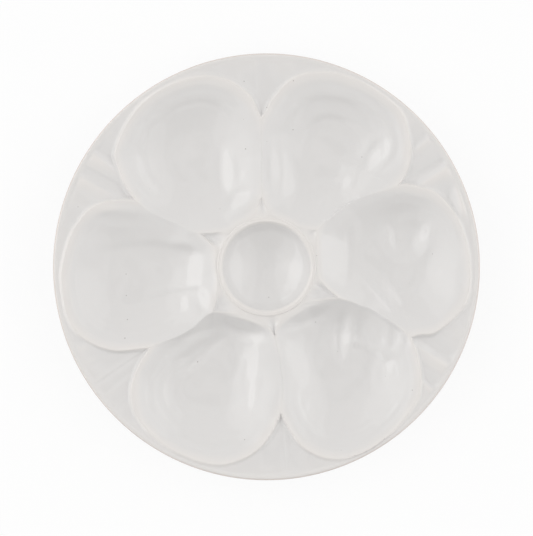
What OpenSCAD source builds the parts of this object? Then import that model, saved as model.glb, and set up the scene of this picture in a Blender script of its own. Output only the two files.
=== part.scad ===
// Round porcelain oyster plate: six shell-shaped wells around a sauce cup.
// Millimetres, +Z up. The origin is on the table, under the plate's centre,
// and the well on the +X side is well 0, counted against the clock.

/* [Plate] */
// Outside diameter of the plate
plate_d = 250; // [230:1:280]
// Height of the rim's edge above the table
rim_h = 21.1; // [18.5:0.1:22]
// Thickness of the rim at its rounded edge
rim_t = 3.2; // [2.4:0.1:4]
// Width of the bead along the rim
rim_bead_w = 3; // [2:0.1:4]
// Height of the bead over the fluted panels
rim_bead_h = 0.15; // [0:0.05:1]
// Thickness of the porcelain under the wells
wall_t = 4.6; // [3.5:0.1:5]

/* [Wells] */
// Height of the outer lips of the wells above the table
lip_h = 21.6; // [20.8:0.1:24]
// Height of the inner lips, beside the sauce cup
inner_lip_h = 21.4; // [20:0.1:23]
// How far the ridge between two wells dips halfway along
ridge_dip = 1.4; // [0:0.1:3]
// Width of the widest wall of a well, from its lip down to its floor
wall_w = 36; // [24:0.5:38]
// Width of the steep flank outside a lip
flank_w = 2; // [1.5:0.1:5]
// How far the panels between the lips sink towards their tips
panel_drop = 1.7; // [0.5:0.1:4]

/* [Sauce cup] */
// Outside diameter of the cup's ring
cup_d = 58; // [50:1:62]
// Height of the cup's ring above the table
cup_h = 22.2; // [21.4:0.1:25]
// Depth of the cup below its ring
cup_depth = 12; // [10:0.1:13]
// Width of the ring's rounded top
cup_ring_w = 3.4; // [2.5:0.1:5]
// Depth of the sunken triangles where two lips part beside the ring
seam_depth = 1.5; // [0.3:0.1:3]

/* [Foot ring] */
// Middle diameter of the foot ring
foot_d = 150; // [130:1:165]
// Width of the foot ring
foot_w = 5; // [4:0.1:7]
// Height of the foot ring
foot_h = 6; // [4.5:0.1:6.5]
// Radius of the foot ring's rounded lower edges
foot_edge_r = 1; // [0.5:0.1:1.5]

/* [Glaze] */
// Thickness of the glass coat on the upper side
glaze_t = 0.3; // [0.2:0.05:0.6]

/* [Hidden] */

porcelain = [0.90, 0.89, 0.87];
clear_glaze = [0.95, 0.94, 0.93];
bare_biscuit = [0.86, 0.82, 0.76];

// Numbers of wells, and of steps along the sides of each well's outline
wells = 6;
ridge_steps = 8;
outer_steps = 18;
inner_steps = 6;

plate_r = plate_d / 2;
cup_r = cup_d / 2;
foot_r = foot_d / 2;
// Plain ground that the body keeps flat on each side of the foot ring
land_margin_share = 0.25;
land_margin = foot_w * land_margin_share;
// Run of the slope from that ground up to the underside
land_slope_share = 0.5;
land_slope = foot_w * land_slope_share;
// The underside of the wells hangs this share of the foot ring's height over its top
under_clear_share = 0.2;
well_under_z = foot_h * (1 + under_clear_share);
well_floor_z = well_under_z + wall_t;

// Where neighbouring wells part beside the cup, in shares of the cup's radius
inner_tip_shares = [
    [1.00, 0.74], [-0.10, 1.41], [-1.34, 0.67],
    [-1.07, -0.90], [0.17, -1.41], [1.45, -0.62]
];
// Where they part at the rim, in shares of the plate's radius
outer_tip_shares = [
    [0.604, 0.376], [-0.024, 0.692], [-0.608, 0.308],
    [-0.540, -0.376], [0.067, -0.676], [0.672, -0.328]
];
// The ridge between two wells, in shares of its own length: along, then to its left
ridge_shares = [
    [[0.27, 0.057], [0.50, 0.082], [0.70, 0.058], [0.89, 0.017]],
    [[0.33, 0.000], [0.66, 0.000]],
    [[0.15, 0.034], [0.34, 0.030], [0.60, 0.048], [0.81, 0.050]],
    [[0.14, 0.005], [0.33, 0.050], [0.50, 0.058], [0.68, 0.045], [0.86, 0.014]],
    [[0.12, 0.014], [0.26, 0.037], [0.44, 0.046], [0.62, 0.055], [0.79, 0.042]],
    [[0.17, 0.034], [0.28, 0.048], [0.39, 0.068], [0.59, 0.059], [0.81, 0.040]]
];
// The side of each well that lies against the cup, in shares of the cup's radius,
// taken with the clock, from one inner tip to the one before it
inner_arc_shares = [
    [[1.02, 0.34], [1.03, 0.00], [1.07, -0.24], [1.24, -0.45]],
    [[0.00, 1.17], [0.09, 1.06], [0.28, 0.99], [0.48, 0.91], [0.69, 0.80]],
    [[-1.03, 0.69], [-0.77, 0.73], [-0.62, 0.84], [-0.34, 1.00], [-0.21, 1.14]],
    [[-1.03, -0.69], [-0.99, -0.33], [-1.03, 0.00], [-1.03, 0.34], [-1.17, 0.52]],
    [[0.07, -1.24], [-0.07, -1.12], [-0.21, -1.05], [-0.52, -0.97], [-0.76, -0.93]],
    [[1.21, -0.64], [0.97, -0.69], [0.76, -0.73], [0.59, -0.86], [0.41, -0.97], [0.21, -1.20]]
];
// The lip of each well at the rim, in shares of the plate's radius, against the clock
outer_arc_shares = [
    [[0.720, -0.314], [0.776, -0.310], [0.824, -0.280], [0.880, -0.232], [0.928, -0.176],
     [0.950, -0.080], [0.948, 0.000], [0.940, 0.080], [0.904, 0.200], [0.840, 0.296],
     [0.776, 0.352], [0.720, 0.368], [0.656, 0.384]],
    [[0.640, 0.416], [0.664, 0.480], [0.672, 0.544], [0.664, 0.608], [0.640, 0.704],
     [0.592, 0.760], [0.496, 0.832], [0.400, 0.880], [0.304, 0.904], [0.192, 0.904],
     [0.112, 0.872], [0.056, 0.816], [0.024, 0.776], [0.000, 0.728]],
    [[-0.040, 0.720], [-0.072, 0.788], [-0.104, 0.820], [-0.176, 0.868], [-0.280, 0.890],
     [-0.400, 0.868], [-0.504, 0.820], [-0.592, 0.752], [-0.664, 0.648], [-0.704, 0.544],
     [-0.704, 0.504], [-0.688, 0.456], [-0.656, 0.376]],
    [[-0.656, 0.312], [-0.720, 0.308], [-0.784, 0.292], [-0.832, 0.264], [-0.896, 0.184],
     [-0.932, 0.096], [-0.958, -0.024], [-0.954, -0.104], [-0.936, -0.216], [-0.888, -0.304],
     [-0.800, -0.364], [-0.704, -0.390], [-0.600, -0.382]],
    [[-0.560, -0.408], [-0.592, -0.456], [-0.616, -0.512], [-0.632, -0.592], [-0.616, -0.680],
     [-0.560, -0.760], [-0.480, -0.832], [-0.384, -0.884], [-0.288, -0.916], [-0.208, -0.924],
     [-0.120, -0.900], [-0.040, -0.852], [0.024, -0.772], [0.048, -0.720]],
    [[0.080, -0.704], [0.104, -0.752], [0.152, -0.824], [0.208, -0.864], [0.272, -0.892],
     [0.368, -0.896], [0.464, -0.864], [0.544, -0.812], [0.616, -0.744], [0.672, -0.672],
     [0.712, -0.608], [0.720, -0.512], [0.700, -0.400], [0.684, -0.360]]
];
// The deepest place of each well, in shares of the plate's radius
well_centre_shares = [
    [0.592, 0.016], [0.336, 0.520], [-0.376, 0.520],
    [-0.624, -0.032], [-0.272, -0.576], [0.368, -0.560]
];

// Width of each well's wall to the right, up, left and down of its deepest place,
// in shares of the widest wall
wall_shares = [
    [0.92, 0.75, 0.78, 0.75], [0.94, 1.00, 0.86, 0.67], [1.00, 1.00, 0.86, 0.67],
    [0.86, 0.94, 0.92, 0.78], [0.94, 0.47, 0.83, 0.78], [0.92, 0.50, 0.86, 0.78]
];
// Rings of a well from its deepest place out to its lip, as shares of the way
well_ring_shares = [0.30, 0.45, 0.60, 0.75, 0.90];
// Slope of those walls at their lips, in shares of their mean slope
lip_slope_shares = [
    [0.45, 0.45, 1.00, 0.45], [0.45, 0.30, 0.45, 0.60], [0.45, 0.30, 0.45, 0.60],
    [0.80, 0.45, 0.45, 0.45], [0.45, 1.30, 0.45, 0.45], [0.45, 1.30, 0.45, 0.45]
];
// Contours follow the outline at the lip, and calm down inwards by this power
calm_power = 3;
// Spread of that calming, and of the wall's own, in degrees to each side
calm_spread = 60;
soft_spread = 18;
calm_steps = 6;

// The ring from its outer foot inwards: share of its width, share of the cup's depth
ring_profile_shares = [[0, 0.045], [0.30, 0.005], [0.55, 0], [0.82, 0.045], [1, 0.11]];
// The bowl inside it: share of its radius, share of the cup's depth
bowl_profile_shares = [[0.895, 0.325], [0.80, 0.46], [0.72, 0.56], [0.49, 0.79], [0.235, 0.95]];
// The seam's ring between the lips and the cup: share of the way, least share of the
// depth, and share of the cup's radius over which it deepens
seam_way_share = 0.45;
seam_least_share = 0.15;
seam_run_share = 0.33;
// The rim's bead: shares of its width from the edge, and of its height over the rim
bead_shares = [[1, 0], [0.6, 1], [0.25, 0.5]];
// The rounded edge: shares of the rim's thickness at its widest and at its lower corner
rim_edge_share = 0.3;
rim_corner_share = 0.85;
rim_round_share = 0.25;
// The ring at a lip's foot: share of the flank's width, and its limit on a narrow panel
flank_share = 0.6;
flank_limit_share = 0.17;
// Rings between the lips and the rim's bead, as shares of the way
panel_ring_shares = [0.35, 0.75];
// Rings of the underside inside and outside the foot ring, as shares of the way
under_inner_shares = [0.16, 0.24, 0.31, 0.38, 0.48, 0.60, 0.75, 0.90];
under_outer_shares = [0.20, 0.40, 0.58, 0.74, 0.86, 0.94];

function clamp01(v) = max(0, min(1, v));
function smooth(v) = let (u = clamp01(v)) u * u * (3 - 2 * u);
function mix(a, b, share) = a + (b - a) * share;
function wrap(i, n) = (i + n) % n;
function half_turn(angle) = angle > 180 ? angle - 360 : angle < -180 ? angle + 360 : angle;
function flat(p) = [p[0], p[1]];

// Point on a Catmull-Rom curve through pts; u counts points from the first
function curve_at(pts, u) =
    let (
        last = len(pts) - 1,
        i = min(floor(u), last - 1),
        f = u - i,
        a = pts[max(i - 1, 0)],
        b = pts[i],
        c = pts[i + 1],
        d = pts[min(i + 2, last)]
    )
    (2 * b + (c - a) * f + (2 * a - 5 * b + 4 * c - d) * f * f
        + (3 * b - a - 3 * c + d) * f * f * f) / 2;

// The same curve as n points at even distances, without its end point
function even_points(pts, n) =
    let (
        last = len(pts) - 1,
        sums = [for (i = 0, s = 0; i <= last; s = s + norm(pts[min(i + 1, last)] - pts[i]), i = i + 1) s],
        table = [for (i = [0:last]) [sums[i], i]]
    )
    [for (j = [0:n - 1]) curve_at(pts, lookup(sums[last] * j / n, table))];

function inner_tip(k) = inner_tip_shares[wrap(k, wells)] * cup_r;
function outer_tip(k) = outer_tip_shares[wrap(k, wells)] * plate_r;
function well_centre(k) = well_centre_shares[k] * plate_r;

// Crest of the ridge between well k and the next one, outwards
function ridge_line(k) =
    let (
        from = inner_tip(k),
        way = outer_tip(k) - from,
        left = [-way[1], way[0]],
        middle = [for (p = ridge_shares[k]) from + way * p[0] + left * p[1]],
        pts = even_points(concat([from], middle, [outer_tip(k)]), ridge_steps)
    )
    [for (j = [0:ridge_steps - 1])
        let (t = j / ridge_steps)
        [pts[j][0], pts[j][1], mix(inner_lip_h, lip_h, t) - ridge_dip * sin(180 * t)]];

// Crest of well k's outer lip, from the tip before it up to the tip after it
function outer_line(k) =
    let (
        middle = [for (p = outer_arc_shares[k]) p * plate_r],
        pts = even_points(concat([outer_tip(k - 1)], middle, [outer_tip(k)]), outer_steps)
    )
    [for (p = pts) [p[0], p[1], lip_h]];

// Crest of well k's inner lip, both tips left out
function inner_line(k) =
    let (
        middle = [for (p = inner_arc_shares[k]) p * cup_r],
        pts = even_points(concat([inner_tip(k)], middle, [inner_tip(k - 1)]), inner_steps)
    )
    [for (j = [1:inner_steps - 1]) [pts[j][0], pts[j][1], inner_lip_h]];

ridges = [for (k = [0:wells - 1]) ridge_line(k)];
outers = [for (k = [0:wells - 1]) outer_line(k)];
inners = [for (k = [0:wells - 1]) inner_line(k)];

// Vertex numbers of those crests
ridge_base = 0;
outer_base = ridge_base + wells * ridge_steps;
inner_base = outer_base + wells * outer_steps;
crest_count = inner_base + wells * (inner_steps - 1);
function ridge_id(k, j) = ridge_base + wrap(k, wells) * ridge_steps + j;
function outer_id(k, j) = outer_base + wrap(k, wells) * outer_steps + j;
function inner_id(k, j) = inner_base + wrap(k, wells) * (inner_steps - 1) + j;
crests = concat(
    [for (line = ridges) each line],
    [for (line = outers) each line],
    [for (line = inners) each line]
);

// Well k's outline as vertex numbers, against the clock
function outline_ids(k) = concat(
    [for (j = [0:ridge_steps - 1]) ridge_id(k - 1, j)],
    [for (j = [0:outer_steps - 1]) outer_id(k, j)],
    [outer_id(k + 1, 0)],
    [for (j = [ridge_steps - 1:-1:0]) ridge_id(k, j)],
    [for (j = [0:inner_steps - 2]) inner_id(k, j)]
);
outline_count = 2 * ridge_steps + outer_steps + inner_steps;
outer_loop = [for (k = [0:wells - 1]) each [for (j = [0:outer_steps - 1]) outer_id(k, j)]];
inner_loop = [for (k = [0:wells - 1]) each concat(
    [ridge_id(k - 1, 0)],
    [for (j = [inner_steps - 2:-1:0]) inner_id(k, j)]
)];
outer_count = len(outer_loop);
inner_count = len(inner_loop);

// Each well's outline by direction from its deepest place: [direction, vertex number]
outline_order = [for (k = [0:wells - 1])
    let (
        centre = well_centre(k),
        ids = outline_ids(k),
        angles = [for (id = ids) let (d = flat(crests[id]) - centre) atan2(d[1], d[0])],
        first = [for (j = [0:outline_count - 1]) if (angles[j] == min(angles)) j][0]
    )
    [for (j = [-1:outline_count])
        let (i = (first + j + outline_count) % outline_count)
        [angles[i] + (j < 0 ? -360 : j >= outline_count ? 360 : 0), ids[i]]]];
reach_tables = [for (k = [0:wells - 1])
    [for (row = outline_order[k]) [row[0], norm(flat(crests[row[1]]) - well_centre(k))]]];
crest_tables = [for (k = [0:wells - 1]) [for (row = outline_order[k]) [row[0], crests[row[1]][2]]]];

// Distance from the deepest place to the outline, averaged over a spread of directions
function mean_reach(k, angle, spread) =
    let (sum = [for (i = [-calm_steps:calm_steps])
        lookup(half_turn(angle + spread * i / calm_steps), reach_tables[k])])
    (sum * [for (v = sum) 1]) / len(sum);
calm_tables = [for (k = [0:wells - 1])
    [for (row = outline_order[k]) [row[0], mean_reach(k, half_turn(row[0]), calm_spread)]]];
soft_tables = [for (k = [0:wells - 1])
    [for (row = outline_order[k]) [row[0], mean_reach(k, half_turn(row[0]), soft_spread)]]];

// Value in a direction, mixed from the two nearest of four: right, up, left and down
function by_direction(four, angle) =
    let (
        turn = angle < 0 ? angle + 360 : angle,
        quarter = floor(turn / 90) % 4
    )
    mix(four[quarter], four[(quarter + 1) % 4], pow(sin(turn - 90 * quarter), 2));
// Level at the wall's foot, steepest above halfway, and of the given slope at the lip
function wall_rise(share, slope) =
    let (r = clamp01(share))
    r * r * (3 - slope - (2 - slope) * r);
function well_z(k, angle, crest_z, share) =
    let (
        reach = mix(lookup(angle, calm_tables[k]), lookup(angle, soft_tables[k]), share * share),
        width = wall_w * by_direction(wall_shares[k], angle),
        slope = by_direction(lip_slope_shares[k], angle)
    )
    mix(well_floor_z, crest_z, wall_rise(1 - (1 - share) * reach / width, slope));
function contour(k, angle, reach, share) =
    share * mix(lookup(angle, calm_tables[k]), reach, pow(share, calm_power));

function well_ring(k, share) =
    let (centre = well_centre(k))
    [for (id = outline_ids(k))
        let (
            way = flat(crests[id]) - centre,
            angle = atan2(way[1], way[0]),
            p = centre + way * contour(k, angle, norm(way), share) / norm(way)
        )
        [p[0], p[1], well_z(k, angle, crests[id][2], share)]];

function well_points(k) = concat(
    [[well_centre(k)[0], well_centre(k)[1], well_floor_z]],
    [for (share = well_ring_shares) each well_ring(k, share)]
);
well_point_count = 1 + len(well_ring_shares) * outline_count;

// Panels between the outer lips and the rim, which fall away from each lip's crest
function panel_z(r) = rim_h - panel_drop * clamp01((plate_r - r) / (plate_r - norm(outer_tip(1))));
function crest_gap(p) = min([for (id = outer_loop) norm(p - flat(crests[id]))]);
function rim_point(p) = p * plate_r / norm(p);
function panel_point(id, r) =
    let (
        p = flat(crests[id]) * r / norm(flat(crests[id])),
        foot = 1 - smooth(crest_gap(p) / flank_w)
    )
    [p[0], p[1], mix(panel_z(r), lip_h, foot)];
function panel_ring(share) =
    [for (id = outer_loop)
        let (from = norm(flat(crests[id])), to = plate_r - rim_bead_w)
        panel_point(id, mix(from, to, share))];
function flank_ring() =
    [for (id = outer_loop)
        let (from = norm(flat(crests[id])), to = plate_r - rim_bead_w)
        panel_point(id, from + min(flank_w * flank_share, (to - from) * flank_limit_share))];
function rim_ring(inset, z) =
    [for (id = outer_loop)
        let (p = rim_point(flat(crests[id])) * (1 - inset / plate_r))
        [p[0], p[1], z]];
// The bead from its inner foot over its top to the plate's outermost edge
rim_rings = concat(
    [for (p = bead_shares) each rim_ring(rim_bead_w * p[0], rim_h + rim_bead_h * p[1])],
    rim_ring(0, rim_h - rim_t * rim_edge_share)
);
rim_ring_count = len(bead_shares) + 1;
outside_points = concat(
    flank_ring(),
    [for (share = panel_ring_shares) each panel_ring(share)],
    rim_rings
);
outside_ring_count = 1 + len(panel_ring_shares) + rim_ring_count;

// The seam around the cup, and the cup itself, on the spokes of the inner lips
function spoke_ring(r, z) =
    [for (id = inner_loop)
        let (p = flat(crests[id]) * r / norm(flat(crests[id])))
        [p[0], p[1], z]];
function cup_z(depth_share) = cup_h - cup_depth * depth_share;
seam_ring = [for (id = inner_loop)
    let (
        crest = crests[id],
        gap = norm(flat(crest)) - cup_r,
        p = flat(crest) * (cup_r + gap * seam_way_share) / norm(flat(crest)),
        sink = mix(seam_least_share, 1, smooth(gap / cup_r / seam_run_share))
    )
    [p[0], p[1], mix(cup_z(ring_profile_shares[0][1]), crest[2], seam_way_share) - seam_depth * sink]];
bowl_r = cup_r - cup_ring_w;
cup_rows = concat(
    [for (p = ring_profile_shares) [cup_r - cup_ring_w * p[0], cup_z(p[1])]],
    [for (p = bowl_profile_shares) [bowl_r * p[0], cup_z(p[1])]]
);
cup_points = concat(
    seam_ring,
    [for (row = cup_rows) each spoke_ring(row[0], row[1])],
    [[0, 0, cup_z(1)]]
);
cup_ring_count = 1 + len(cup_rows);

// The whole upper surface
well_base = crest_count;
outside_base = well_base + wells * well_point_count;
cup_base = outside_base + outside_ring_count * outer_count;
top_points = concat(
    crests,
    [for (k = [0:wells - 1]) each well_points(k)],
    outside_points,
    cup_points
);
top_count = len(top_points);

// Triangles between two rings of vertex numbers; the first ring lies outside
function strip(outer_ids, inner_ids) =
    let (n = len(outer_ids))
    [for (j = [0:n - 1])
        let (next = (j + 1) % n)
        each [
            [outer_ids[j], inner_ids[j], outer_ids[next]],
            [outer_ids[next], inner_ids[j], inner_ids[next]]
        ]];
function fan(ids, centre_id) =
    let (n = len(ids))
    [for (j = [0:n - 1]) [ids[j], centre_id, ids[(j + 1) % n]]];
function run(base, ring, n) = [for (j = [0:n - 1]) base + ring * n + j];
// Strips between neighbouring loops in a list that goes inwards
function strips(loops) = [for (i = [0:len(loops) - 2]) each strip(loops[i], loops[i + 1])];

function well_faces(k) =
    let (
        base = well_base + k * well_point_count,
        rings = len(well_ring_shares),
        loops = concat(
            [outline_ids(k)],
            [for (i = [rings - 1:-1:0]) run(base + 1, i, outline_count)]
        )
    )
    concat(strips(loops), fan(loops[rings], base));
function outside_loops() = concat(
    [for (i = [outside_ring_count - 1:-1:0]) run(outside_base, i, outer_count)],
    [outer_loop]
);
function cup_loops() = concat(
    [inner_loop],
    [for (i = [0:cup_ring_count - 1]) run(cup_base, i, inner_count)]
);
top_faces = concat(
    [for (k = [0:wells - 1]) each well_faces(k)],
    strips(outside_loops()),
    strips(cup_loops()),
    fan(cup_loops()[cup_ring_count], top_count - 1)
);
rim_loop = outside_loops()[0];

// Height of well k at a point, or none outside its lip; the share is found by repeated trial
function well_height(k, p) =
    let (
        d = p - well_centre(k),
        angle = atan2(d[1], d[0]),
        reach = lookup(angle, reach_tables[k]),
        far = norm(d),
        calmed = lookup(angle, calm_tables[k]),
        try1 = far / reach,
        try2 = far / mix(calmed, reach, pow(min(1, try1), calm_power)),
        try3 = far / mix(calmed, reach, pow(min(1, try2), calm_power))
    )
    try1 > 1 ? undef : well_z(k, angle, lookup(angle, crest_tables[k]), min(1, try3));
cup_table = concat([[0, cup_z(1)]], [for (i = [len(cup_rows) - 1:-1:0]) cup_rows[i]]);
function surface_z(p) =
    let (
        r = norm(p),
        in_wells = [for (k = [0:wells - 1]) let (z = well_height(k, p)) if (!is_undef(z)) z]
    )
    r < cup_r ? lookup(r, cup_table)
        : len(in_wells) > 0 ? min(in_wells)
        : r > norm(outer_tip(1)) ? panel_z(r)
        : inner_lip_h - seam_depth;

// The underside keeps the wall's thickness below the upper surface: at each point
// it clears the surface around it on all sides, and thins towards the rim's edge
probe_shares = [0.5, 0.85];
probe_count = 8;
function under_z(p) =
    let (
        t = mix(wall_t, rim_t, smooth(1 - (plate_r - norm(p)) / flank_w / 2)),
        below = surface_z(p) - t,
        around = [for (a = probe_shares, i = [0:probe_count - 1])
            let (turn = i * 360 / probe_count, q = p + [cos(turn), sin(turn)] * a * t)
            if (norm(q) < plate_r) surface_z(q) - t * sqrt(1 - a * a)]
    )
    min(concat([below], around));
function under_ring(r) =
    [for (id = outer_loop)
        let (p = rim_point(flat(crests[id])) * r / plate_r)
        [p[0], p[1], under_z(p)]];
function land_ring(r) =
    [for (id = outer_loop)
        let (p = rim_point(flat(crests[id])) * r / plate_r)
        [p[0], p[1], foot_h]];
land_in = foot_r - foot_w / 2 - land_margin;
land_out = foot_r + foot_w / 2 + land_margin;
under_edge_r = plate_r - rim_t * rim_round_share;
under_points = concat(
    rim_ring(plate_r - under_edge_r, rim_h - rim_t * rim_corner_share),
    [for (i = [len(under_outer_shares) - 1:-1:0])
        each under_ring(mix(land_out + land_slope, under_edge_r, under_outer_shares[i]))],
    under_ring(land_out + land_slope),
    land_ring(land_out),
    land_ring(land_in),
    under_ring(land_in - land_slope),
    [for (i = [len(under_inner_shares) - 1:-1:0])
        each under_ring((land_in - land_slope) * under_inner_shares[i])],
    [[0, 0, cup_z(1) - wall_t]]
);
under_ring_count = 5 + len(under_outer_shares) + len(under_inner_shares);
under_base = top_count;
function under_loops() = concat(
    [rim_loop],
    [for (i = [0:under_ring_count - 1]) run(under_base, i, outer_count)]
);
function turned(faces) = [for (f = faces) [f[0], f[2], f[1]]];
body_points = concat(top_points, under_points);
under_faces = turned(concat(
    strips(under_loops()),
    fan(under_loops()[under_ring_count], len(body_points) - 1)
));

// The coat repeats the upper surface, lifted by its own thickness
coat_points = concat(top_points, [for (p = top_points) p + [0, 0, glaze_t]]);
function lifted(faces) = [for (f = faces) [f[0] + top_count, f[1] + top_count, f[2] + top_count]];
coat_rim_loop = [for (id = rim_loop) id + top_count];

// Fired plate, without its foot ring
module porcelain_body() {
    color(porcelain)
        polyhedron(points = body_points, faces = concat(top_faces, under_faces));
}

// Clear glass coat on the upper side, run out at the rim's edge
module glaze_coat() {
    color(clear_glaze)
        polyhedron(
            points = coat_points,
            faces = concat(turned(top_faces), lifted(top_faces), strip(rim_loop, coat_rim_loop))
        );
}

// Ring that the plate stands on, wiped bare of glaze
module foot_ring() {
    inside_r = foot_r - foot_w / 2;
    outside_r = foot_r + foot_w / 2;
    color(bare_biscuit)
        rotate_extrude($fn = 180)
            union() {
                translate([inside_r, foot_edge_r])
                    square([foot_w, foot_h - foot_edge_r]);
                translate([inside_r + foot_edge_r, 0])
                    square([foot_w - 2 * foot_edge_r, foot_edge_r]);
                for (x = [inside_r + foot_edge_r, outside_r - foot_edge_r])
                    translate([x, foot_edge_r])
                        circle(r = foot_edge_r, $fn = 32);
            }
}

porcelain_body();
glaze_coat();
foot_ring();
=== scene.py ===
# %% [markdown]
# # A porcelain oyster plate
#
# The plate is one pressed piece of porcelain: six uneven wells, each like the
# hollow half of an oyster shell, stand around a sauce cup, and a fluted rim
# closes the circle. The photograph looks straight down on it, so nearly all
# that the eye gets is relief under glaze: lips, growth steps, folds and the
# patches that mirror a lamp. That relief could be sculpted by hand or pushed
# up with a painted displacement. Here it is worked out as a height over the
# plan, because a pressed plate has to leave its mould and so has no
# undercuts: one height for each point of the plan is exactly what it is.

# %% Load the construction
import bpy
import numpy as np
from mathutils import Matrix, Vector


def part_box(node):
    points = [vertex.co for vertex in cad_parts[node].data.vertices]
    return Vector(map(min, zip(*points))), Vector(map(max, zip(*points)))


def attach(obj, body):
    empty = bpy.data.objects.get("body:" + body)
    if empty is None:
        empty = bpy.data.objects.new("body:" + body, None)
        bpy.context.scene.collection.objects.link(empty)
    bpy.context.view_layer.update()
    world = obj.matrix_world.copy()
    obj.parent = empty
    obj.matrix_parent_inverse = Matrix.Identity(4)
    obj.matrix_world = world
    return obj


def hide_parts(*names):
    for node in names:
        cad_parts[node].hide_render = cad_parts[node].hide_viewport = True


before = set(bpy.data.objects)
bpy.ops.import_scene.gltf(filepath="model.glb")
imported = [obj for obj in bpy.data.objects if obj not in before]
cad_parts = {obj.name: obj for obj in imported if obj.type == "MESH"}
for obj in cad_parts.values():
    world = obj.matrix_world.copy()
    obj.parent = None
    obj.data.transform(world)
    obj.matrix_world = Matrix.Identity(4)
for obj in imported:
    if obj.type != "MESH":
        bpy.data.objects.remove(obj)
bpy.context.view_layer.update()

# %% [markdown]
# ## Driving sizes
#
# The construction holds the sizes that matter to a table or a dishwasher rack:
# the diameter, the height, the foot ring. They are read from its boxes, so the
# dressed plate can't drift away from it. The others are sizes of the relief,
# in millimetres, because that is how a mould maker would give them.

# %% Sizes
MM = 0.001
body_low, body_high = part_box("porcelain_body")
coat_low, coat_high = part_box("glaze_coat")
foot_low, foot_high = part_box("foot_ring")

plate_r = (body_high.x - body_low.x) / 2 / MM
foot_h = foot_high.z / MM
foot_out_r = foot_high.x / MM
foot_w = 5.0
wall_t, rim_t, glaze_t = 4.6, 3.2, 0.3
rim_h = 21.4
cup_r, cup_h, cup_depth = 29.0, 22.5, 12.0
# Deepest place of the wells, and crest of their lips beside the rim and beside the cup
floor_z, lip_h, inner_lip_h = 12.1, 21.9, 21.7
# How far the panels lie below the rim where two wells part
panel_drop = 1.7
print("plate radius", round(plate_r, 2), "foot from", round(foot_low.z / MM, 2), "to", round(foot_h, 2),
      "top of the glaze", round(coat_high.z / MM, 2), "and its lowest", round(coat_low.z / MM, 2))

# %% [markdown]
# ## Soft changes
#
# Pressed clay has no sudden changes, so nearly every form below is one value
# that turns softly into another. A straight blend would leave a crease at each
# end, which glossy glaze shows at once. The smooth step starts and ends level.

# %% Soft step and mix


def clamp01(v):
    """v, but no less than 0 and no more than 1."""
    return np.clip(v, 0.0, 1.0)


def smooth(v):
    """0 below 0, 1 above 1, and 3u^2 - 2u^3 between them."""
    u = clamp01(v)
    return u * u * (3 - 2 * u)


def mix(a, b, share):
    """a + (b - a) * share: a where the share is 0, b where it is 1."""
    return a + (b - a) * share


print("smooth step at a quarter of the way", float(smooth(0.25)))

# %% [markdown]
# ## Curves through points
#
# Each well has an outline like a shell that grew on its own rock. It is given
# by points, in shares of the plate's or the cup's radius, and joined by a
# Catmull-Rom curve, which passes through every point and has no corners. Bezier
# curves would do too, but need two handles for each point.

# %% Catmull-Rom curve


def curve(points, count, gather=0.0):
    """count points on the curve, without its end point, evenly spaced or gathered at both ends.

    A point b with its neighbours a, c and d gives, at the share f of the way to c,
    (2b + (c-a)f + (2a-5b+4c-d)f^2 + (3b-a-3c+d)f^3)/2.
    """
    pts = np.asarray(points, float)
    last = len(pts) - 1
    sums = np.concatenate([[0], np.cumsum(np.linalg.norm(np.diff(pts, axis=0), axis=1))])
    way = np.arange(count) / count
    way = way - gather * np.sin(2 * np.pi * way)
    u = np.interp(sums[-1] * way, sums, np.arange(last + 1))
    i = np.minimum(u.astype(int), last - 1)
    f = (u - i)[:, None]
    a, b, c, d = pts[np.maximum(i - 1, 0)], pts[i], pts[i + 1], pts[np.minimum(i + 2, last)]
    return (2 * b + (c - a) * f + (2 * a - 5 * b + 4 * c - d) * f**2 + (3 * b - a - 3 * c + d) * f**3) / 2


print("a curve over three points, a quarter of the way:", curve([[0, 0], [1, 1], [2, 0]], 4)[1].round(3))

# %% [markdown]
# ## Outline points
#
# The wells are numbered against the clock, from the one at the right. A tip is
# where two wells meet the cup or the rim. A ridge runs between two tips, and
# its points are shares of that way: along it, and aside to the left. The arcs
# close a well beside the cup and beside the rim. Points given one by one follow
# the plate better here than any formula, since no two shells are alike.

# %% Points of the ridges and the inner arcs
WELLS = 6
inner_tips = np.array([
    [1.00, 0.74], [-0.10, 1.41], [-1.34, 0.67], [-1.07, -0.90], [0.17, -1.41], [1.45, -0.62],
]) * cup_r
outer_tips = np.array([
    [0.604, 0.376], [-0.024, 0.692], [-0.608, 0.308], [-0.540, -0.376], [0.067, -0.676], [0.672, -0.328],
]) * plate_r
ridge_shares = [
    [[0.27, 0.057], [0.50, 0.082], [0.70, 0.058], [0.89, 0.017]],
    [[0.33, 0.000], [0.66, 0.000]],
    [[0.15, 0.034], [0.34, 0.030], [0.60, 0.048], [0.81, 0.050]],
    [[0.14, 0.005], [0.33, 0.050], [0.50, 0.058], [0.68, 0.045], [0.86, 0.014]],
    [[0.12, 0.014], [0.26, 0.037], [0.44, 0.046], [0.62, 0.055], [0.79, 0.042]],
    [[0.17, 0.034], [0.28, 0.048], [0.39, 0.068], [0.59, 0.059], [0.81, 0.040]],
]
inner_arc_shares = [
    [[1.02, 0.34], [1.03, 0.00], [1.07, -0.24], [1.24, -0.45]],
    [[0.00, 1.17], [0.09, 1.06], [0.28, 0.99], [0.48, 0.91], [0.69, 0.80]],
    [[-1.03, 0.69], [-0.77, 0.73], [-0.62, 0.84], [-0.34, 1.00], [-0.21, 1.14]],
    [[-1.03, -0.69], [-0.99, -0.33], [-1.03, 0.00], [-1.03, 0.34], [-1.17, 0.52]],
    [[0.07, -1.24], [-0.07, -1.12], [-0.21, -1.05], [-0.52, -0.97], [-0.76, -0.93]],
    [[1.21, -0.64], [0.97, -0.69], [0.76, -0.73], [0.59, -0.86], [0.41, -0.97], [0.21, -1.20]],
]
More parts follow.
